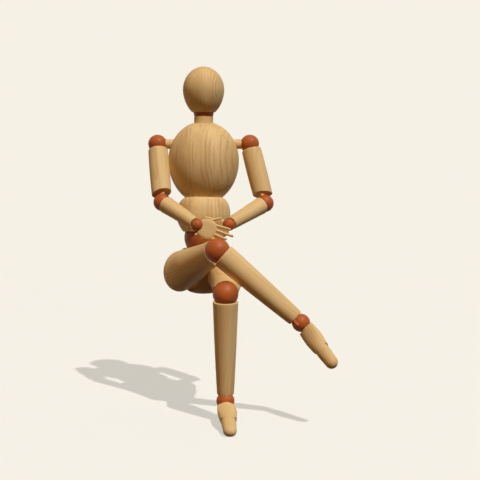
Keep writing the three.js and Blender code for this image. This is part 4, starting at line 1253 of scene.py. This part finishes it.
def joint_frame(name, place, across, up):
    """The frame at one joint of a limb: X along the second joint's axis, Z up the third's."""
    return axes(spot(f"{name}_{place}"), along(f"{name}_{across}"), along(f"{name}_{up}"))


def root_frames(name, side, limb):
    """The frames of a shoulder's or hip's ball, and of the hanger or the thigh on it."""
    pin, peg = (side * along(f"{name}_{limb}_{turn}") for turn in PIN_AND_PEG[limb])
    place = spot(f"{name}_{limb}_swing")
    return axes(place, pin, np.cross(pin, peg)), axes(place, pin, -along(f"{name}_{limb}_turn"))


def add_arm(name, side):
    """Shoulder ball, hanger, upper arm, elbow ball, forearm, wrist ball and hand."""
    ball, hang = root_frames(name, side, "arm")
    in_stain(f"{name}_shoulder_ball", "shoulder", ball, True)
    in_steel(f"{name}_arm_hanger", hang, "shoulder")
    upper = joint_frame(name, "arm_swing", "elbow_bend", "arm_turn")
    in_beech(f"{name}_upper_arm", upper, upper_arm_shape(), upper_arm_steps())

    in_stain(f"{name}_elbow_ball", "elbow",
             joint_frame(name, "elbow_bend", "elbow_bend", "forearm_turn"))
    fore = joint_frame(name, "elbow_bend", "wrist_bend", "forearm_turn")
    pins = BALL["wrist"] - PIN_COVER - GAP
    steps = join(*tongue_tools(FIT["wrist"], -forearm_length, BALL["wrist"] + 2),
                 placed(drum(FIT["wrist"]["pin"], -pins, pins, 24), offset(z=-forearm_length)))
    in_beech(f"{name}_forearm", fore, forearm_shape(), steps)
    in_stain(f"{name}_wrist_ball", "wrist",
             joint_frame(name, "wrist_bend", "wrist_bend", "hand_turn"))
    add_hand(name, side)


# %% Legs


def add_leg(name, side):
    """Hip ball, thigh, hanger, knee ball, shin, ankle ball, foot and toe."""
    ball, thigh = root_frames(name, side, "leg")
    in_stain(f"{name}_hip_ball", "hip", ball, True)
    shin_down = np.linalg.inv(thigh)[:3, :3] @ -along(f"{name}_shin_turn")
    in_beech(f"{name}_thigh", thigh, thigh_shape(), thigh_steps(shin_down, *KNEE_NOTCH[name]))

    in_steel(f"{name}_knee_hanger", joint_frame(name, "knee_bend", "knee_bend", "leg_turn"), "knee")
    in_stain(f"{name}_knee_ball", "knee", joint_frame(name, "knee_bend", "knee_bend", "shin_turn"))
    steps = join(*tongue_tools(FIT["ankle"], -shin_length, BALL["ankle"] + 3))
    steps += cut(pin_hole(FIT["ankle"], -shin_length))
    in_beech(f"{name}_shin", joint_frame(name, "knee_bend", "ankle_bend", "shin_turn"),
             shin_shape(), steps)

    in_stain(f"{name}_ankle_ball", "ankle",
             joint_frame(name, "ankle_bend", "ankle_bend", "foot_turn"))
    foot = joint_frame(name, "ankle_bend", "toe_bend", "foot_turn")
    in_beech(f"{name}_foot", foot, foot_shape(), foot_steps())
    in_beech(f"{name}_toe", shifted(foot, z=-toe_hinge), toe_shape(), toe_steps())


for limb_name, limb_side in SIDES.items():
    add_arm(limb_name, limb_side)
    add_leg(limb_name, limb_side)
for node_name, node in frame["nodes"].items():
    if node_name.endswith("_pin"):
        finished(node, STEEL)
print("limbs made")

# %% [markdown]
# ## Floor and light
#
# The photograph has one hard light from the upper right and a floor so pale that only the
# shadow tells where it lies. The floor takes its paleness from a light path test: what the
# camera sees is mostly a glow of the floor's own colour, and the rest is lit, which keeps
# the shadow. Other rays meet a darker floor, so that it doesn't fill the figure's shade.
#
# On the figure itself the photograph shows shade but no cast shadows. One sun can't do
# both, so the same sun is set up twice, and light linking tells the two apart. One lights
# the floor, the pelvis and the balls of waist and neck, which need shadows. The other lights
# the rest without them, and a weaker, warmer light from the front left opens its shade. The
# sky is dim, and less so behind the figure, which keeps the back from going black.

# %% Floor, sun and sky
FLOOR_HEIGHT = -83.5
FLOOR_R = 40000
BACKDROP = np.array([0.922, 0.879, 0.787])
SHADOW_DEPTH = 0.335  # how much of the floor's brightness the shadow takes away
BOUNCE_FLOOR = (0.07, 0.026, 0.008, 1)  # the floor's colour to light that bounces off it
SUN_TOWARD = np.array([0.389, -0.547, 1.0])
SUN_STRENGTH = 3.1
SKY_IN_FRONT = np.array([0.030, 0.008, 0.000])
SKY_BEHIND = np.array([0.34, 0.23, 0.13])
FILL_TOWARD = np.array([-0.45, -1.0, 0.9])
FILL_STRENGTH = 0.75
FILL_COLOUR = (1.0, 0.56, 0.22)


def seen_directly(nodes):
    """1 for rays from the camera, from a mirror and through glass, and 0 for the others."""
    path = nodes.add("ShaderNodeLightPath").outputs
    direct = nodes.math("MAXIMUM", path["Is Camera Ray"], path["Is Glossy Ray"])
    return nodes.math("MAXIMUM", direct, path["Is Transmission Ray"])


def floor_material():
    """The floor's colour is the sum of what the sun and sky add to it and a glow of its own."""
    nodes = Nodes(bpy.data.materials.new("pale_floor"))
    sun_share = SUN_STRENGTH * SUN_TOWARD[2] / np.linalg.norm(SUN_TOWARD) / math.pi
    lit = BACKDROP * SHADOW_DEPTH / sun_share
    own = BACKDROP - lit * (sun_share + (SKY_IN_FRONT + SKY_BEHIND) / 2)
    lit = nodes.add("ShaderNodeBsdfDiffuse", Color=(*lit, 1)).outputs[0]
    own = nodes.add("ShaderNodeEmission", Color=(*own, 1), Strength=1.0).outputs[0]
    near = nodes.add("ShaderNodeAddShader", n0=lit, n1=own).outputs[0]
    far = nodes.add("ShaderNodeEmission", Color=(*BACKDROP, 1), Strength=1.0).outputs[0]
    place = nodes.add("ShaderNodeTexCoord").outputs["Object"]
    distance = nodes.add("ShaderNodeVectorMath", {"operation": "LENGTH"}, n0=place).outputs["Value"]
    fading = nodes.ramp(distance, 0.5, 1.2)
    pale = nodes.add("ShaderNodeMixShader", n0=fading, n1=near, n2=far).outputs[0]
    dark = nodes.add("ShaderNodeBsdfDiffuse", Color=BOUNCE_FLOOR).outputs[0]
    mixed = nodes.add("ShaderNodeMixShader", n0=seen_directly(nodes), n1=dark, n2=pale).outputs[0]
    nodes.add("ShaderNodeOutputMaterial", Surface=mixed)
    return nodes.owner


floor = new_object("floor", block((-FLOOR_R, -FLOOR_R, FLOOR_HEIGHT - 1),
                                  (FLOOR_R, FLOOR_R, FLOOR_HEIGHT)))
floor.data.materials.append(floor_material())


def add_sun(name, toward, strength, pieces, casting, colour=(1, 1, 1)):
    """A sun for these pieces alone, casting shadows, or for all but these, without shadows."""
    lamp = bpy.data.lights.new(name, "SUN")
    lamp.energy = strength
    lamp.color = colour
    lamp.angle = math.radians(0.8)
    lamp.use_shadow = casting
    sun = bpy.data.objects.new(name, lamp)
    sun.rotation_euler = Vector(toward.tolist()).to_track_quat("Z", "Y").to_euler()
    bpy.context.scene.collection.objects.link(sun)
    lit = bpy.data.collections.new(name)
    state = "INCLUDE" if casting else "EXCLUDE"
    for number, piece in enumerate(pieces):
        lit.objects.link(piece)
        lit.collection_objects[number].light_linking.link_state = state
    sun.light_linking.receiver_collection = lit


add_sun("sun_with_shadows", SUN_TOWARD, SUN_STRENGTH, (floor, *shadowed), True)
add_sun("sun_on_figure", SUN_TOWARD, SUN_STRENGTH, (floor, *shadowed), False)
add_sun("fill_on_figure", FILL_TOWARD, FILL_STRENGTH, (floor, *shadowed), False, FILL_COLOUR)

world = bpy.data.worlds.new("sky")
bpy.context.scene.world = world
sky = Nodes(world)
pale_sky = sky.add("ShaderNodeBackground", Color=(*BACKDROP, 1), Strength=1.0).outputs[0]
direction = sky.add("ShaderNodeTexCoord").outputs["Generated"]
behind = sky.add("ShaderNodeSeparateXYZ", Vector=direction).outputs["Y"]
dim_colour = sky.mix(sky.ramp(behind, -1.0, 1.0), tuple(SKY_IN_FRONT), tuple(SKY_BEHIND))
dim_sky = sky.add("ShaderNodeBackground", Color=dim_colour, Strength=1.0).outputs[0]
both = sky.add("ShaderNodeMixShader", n0=seen_directly(sky), n1=dim_sky, n2=pale_sky).outputs[0]
sky.add("ShaderNodeOutputWorld", Surface=both)
bpy.context.scene.view_settings.view_transform = "Standard"
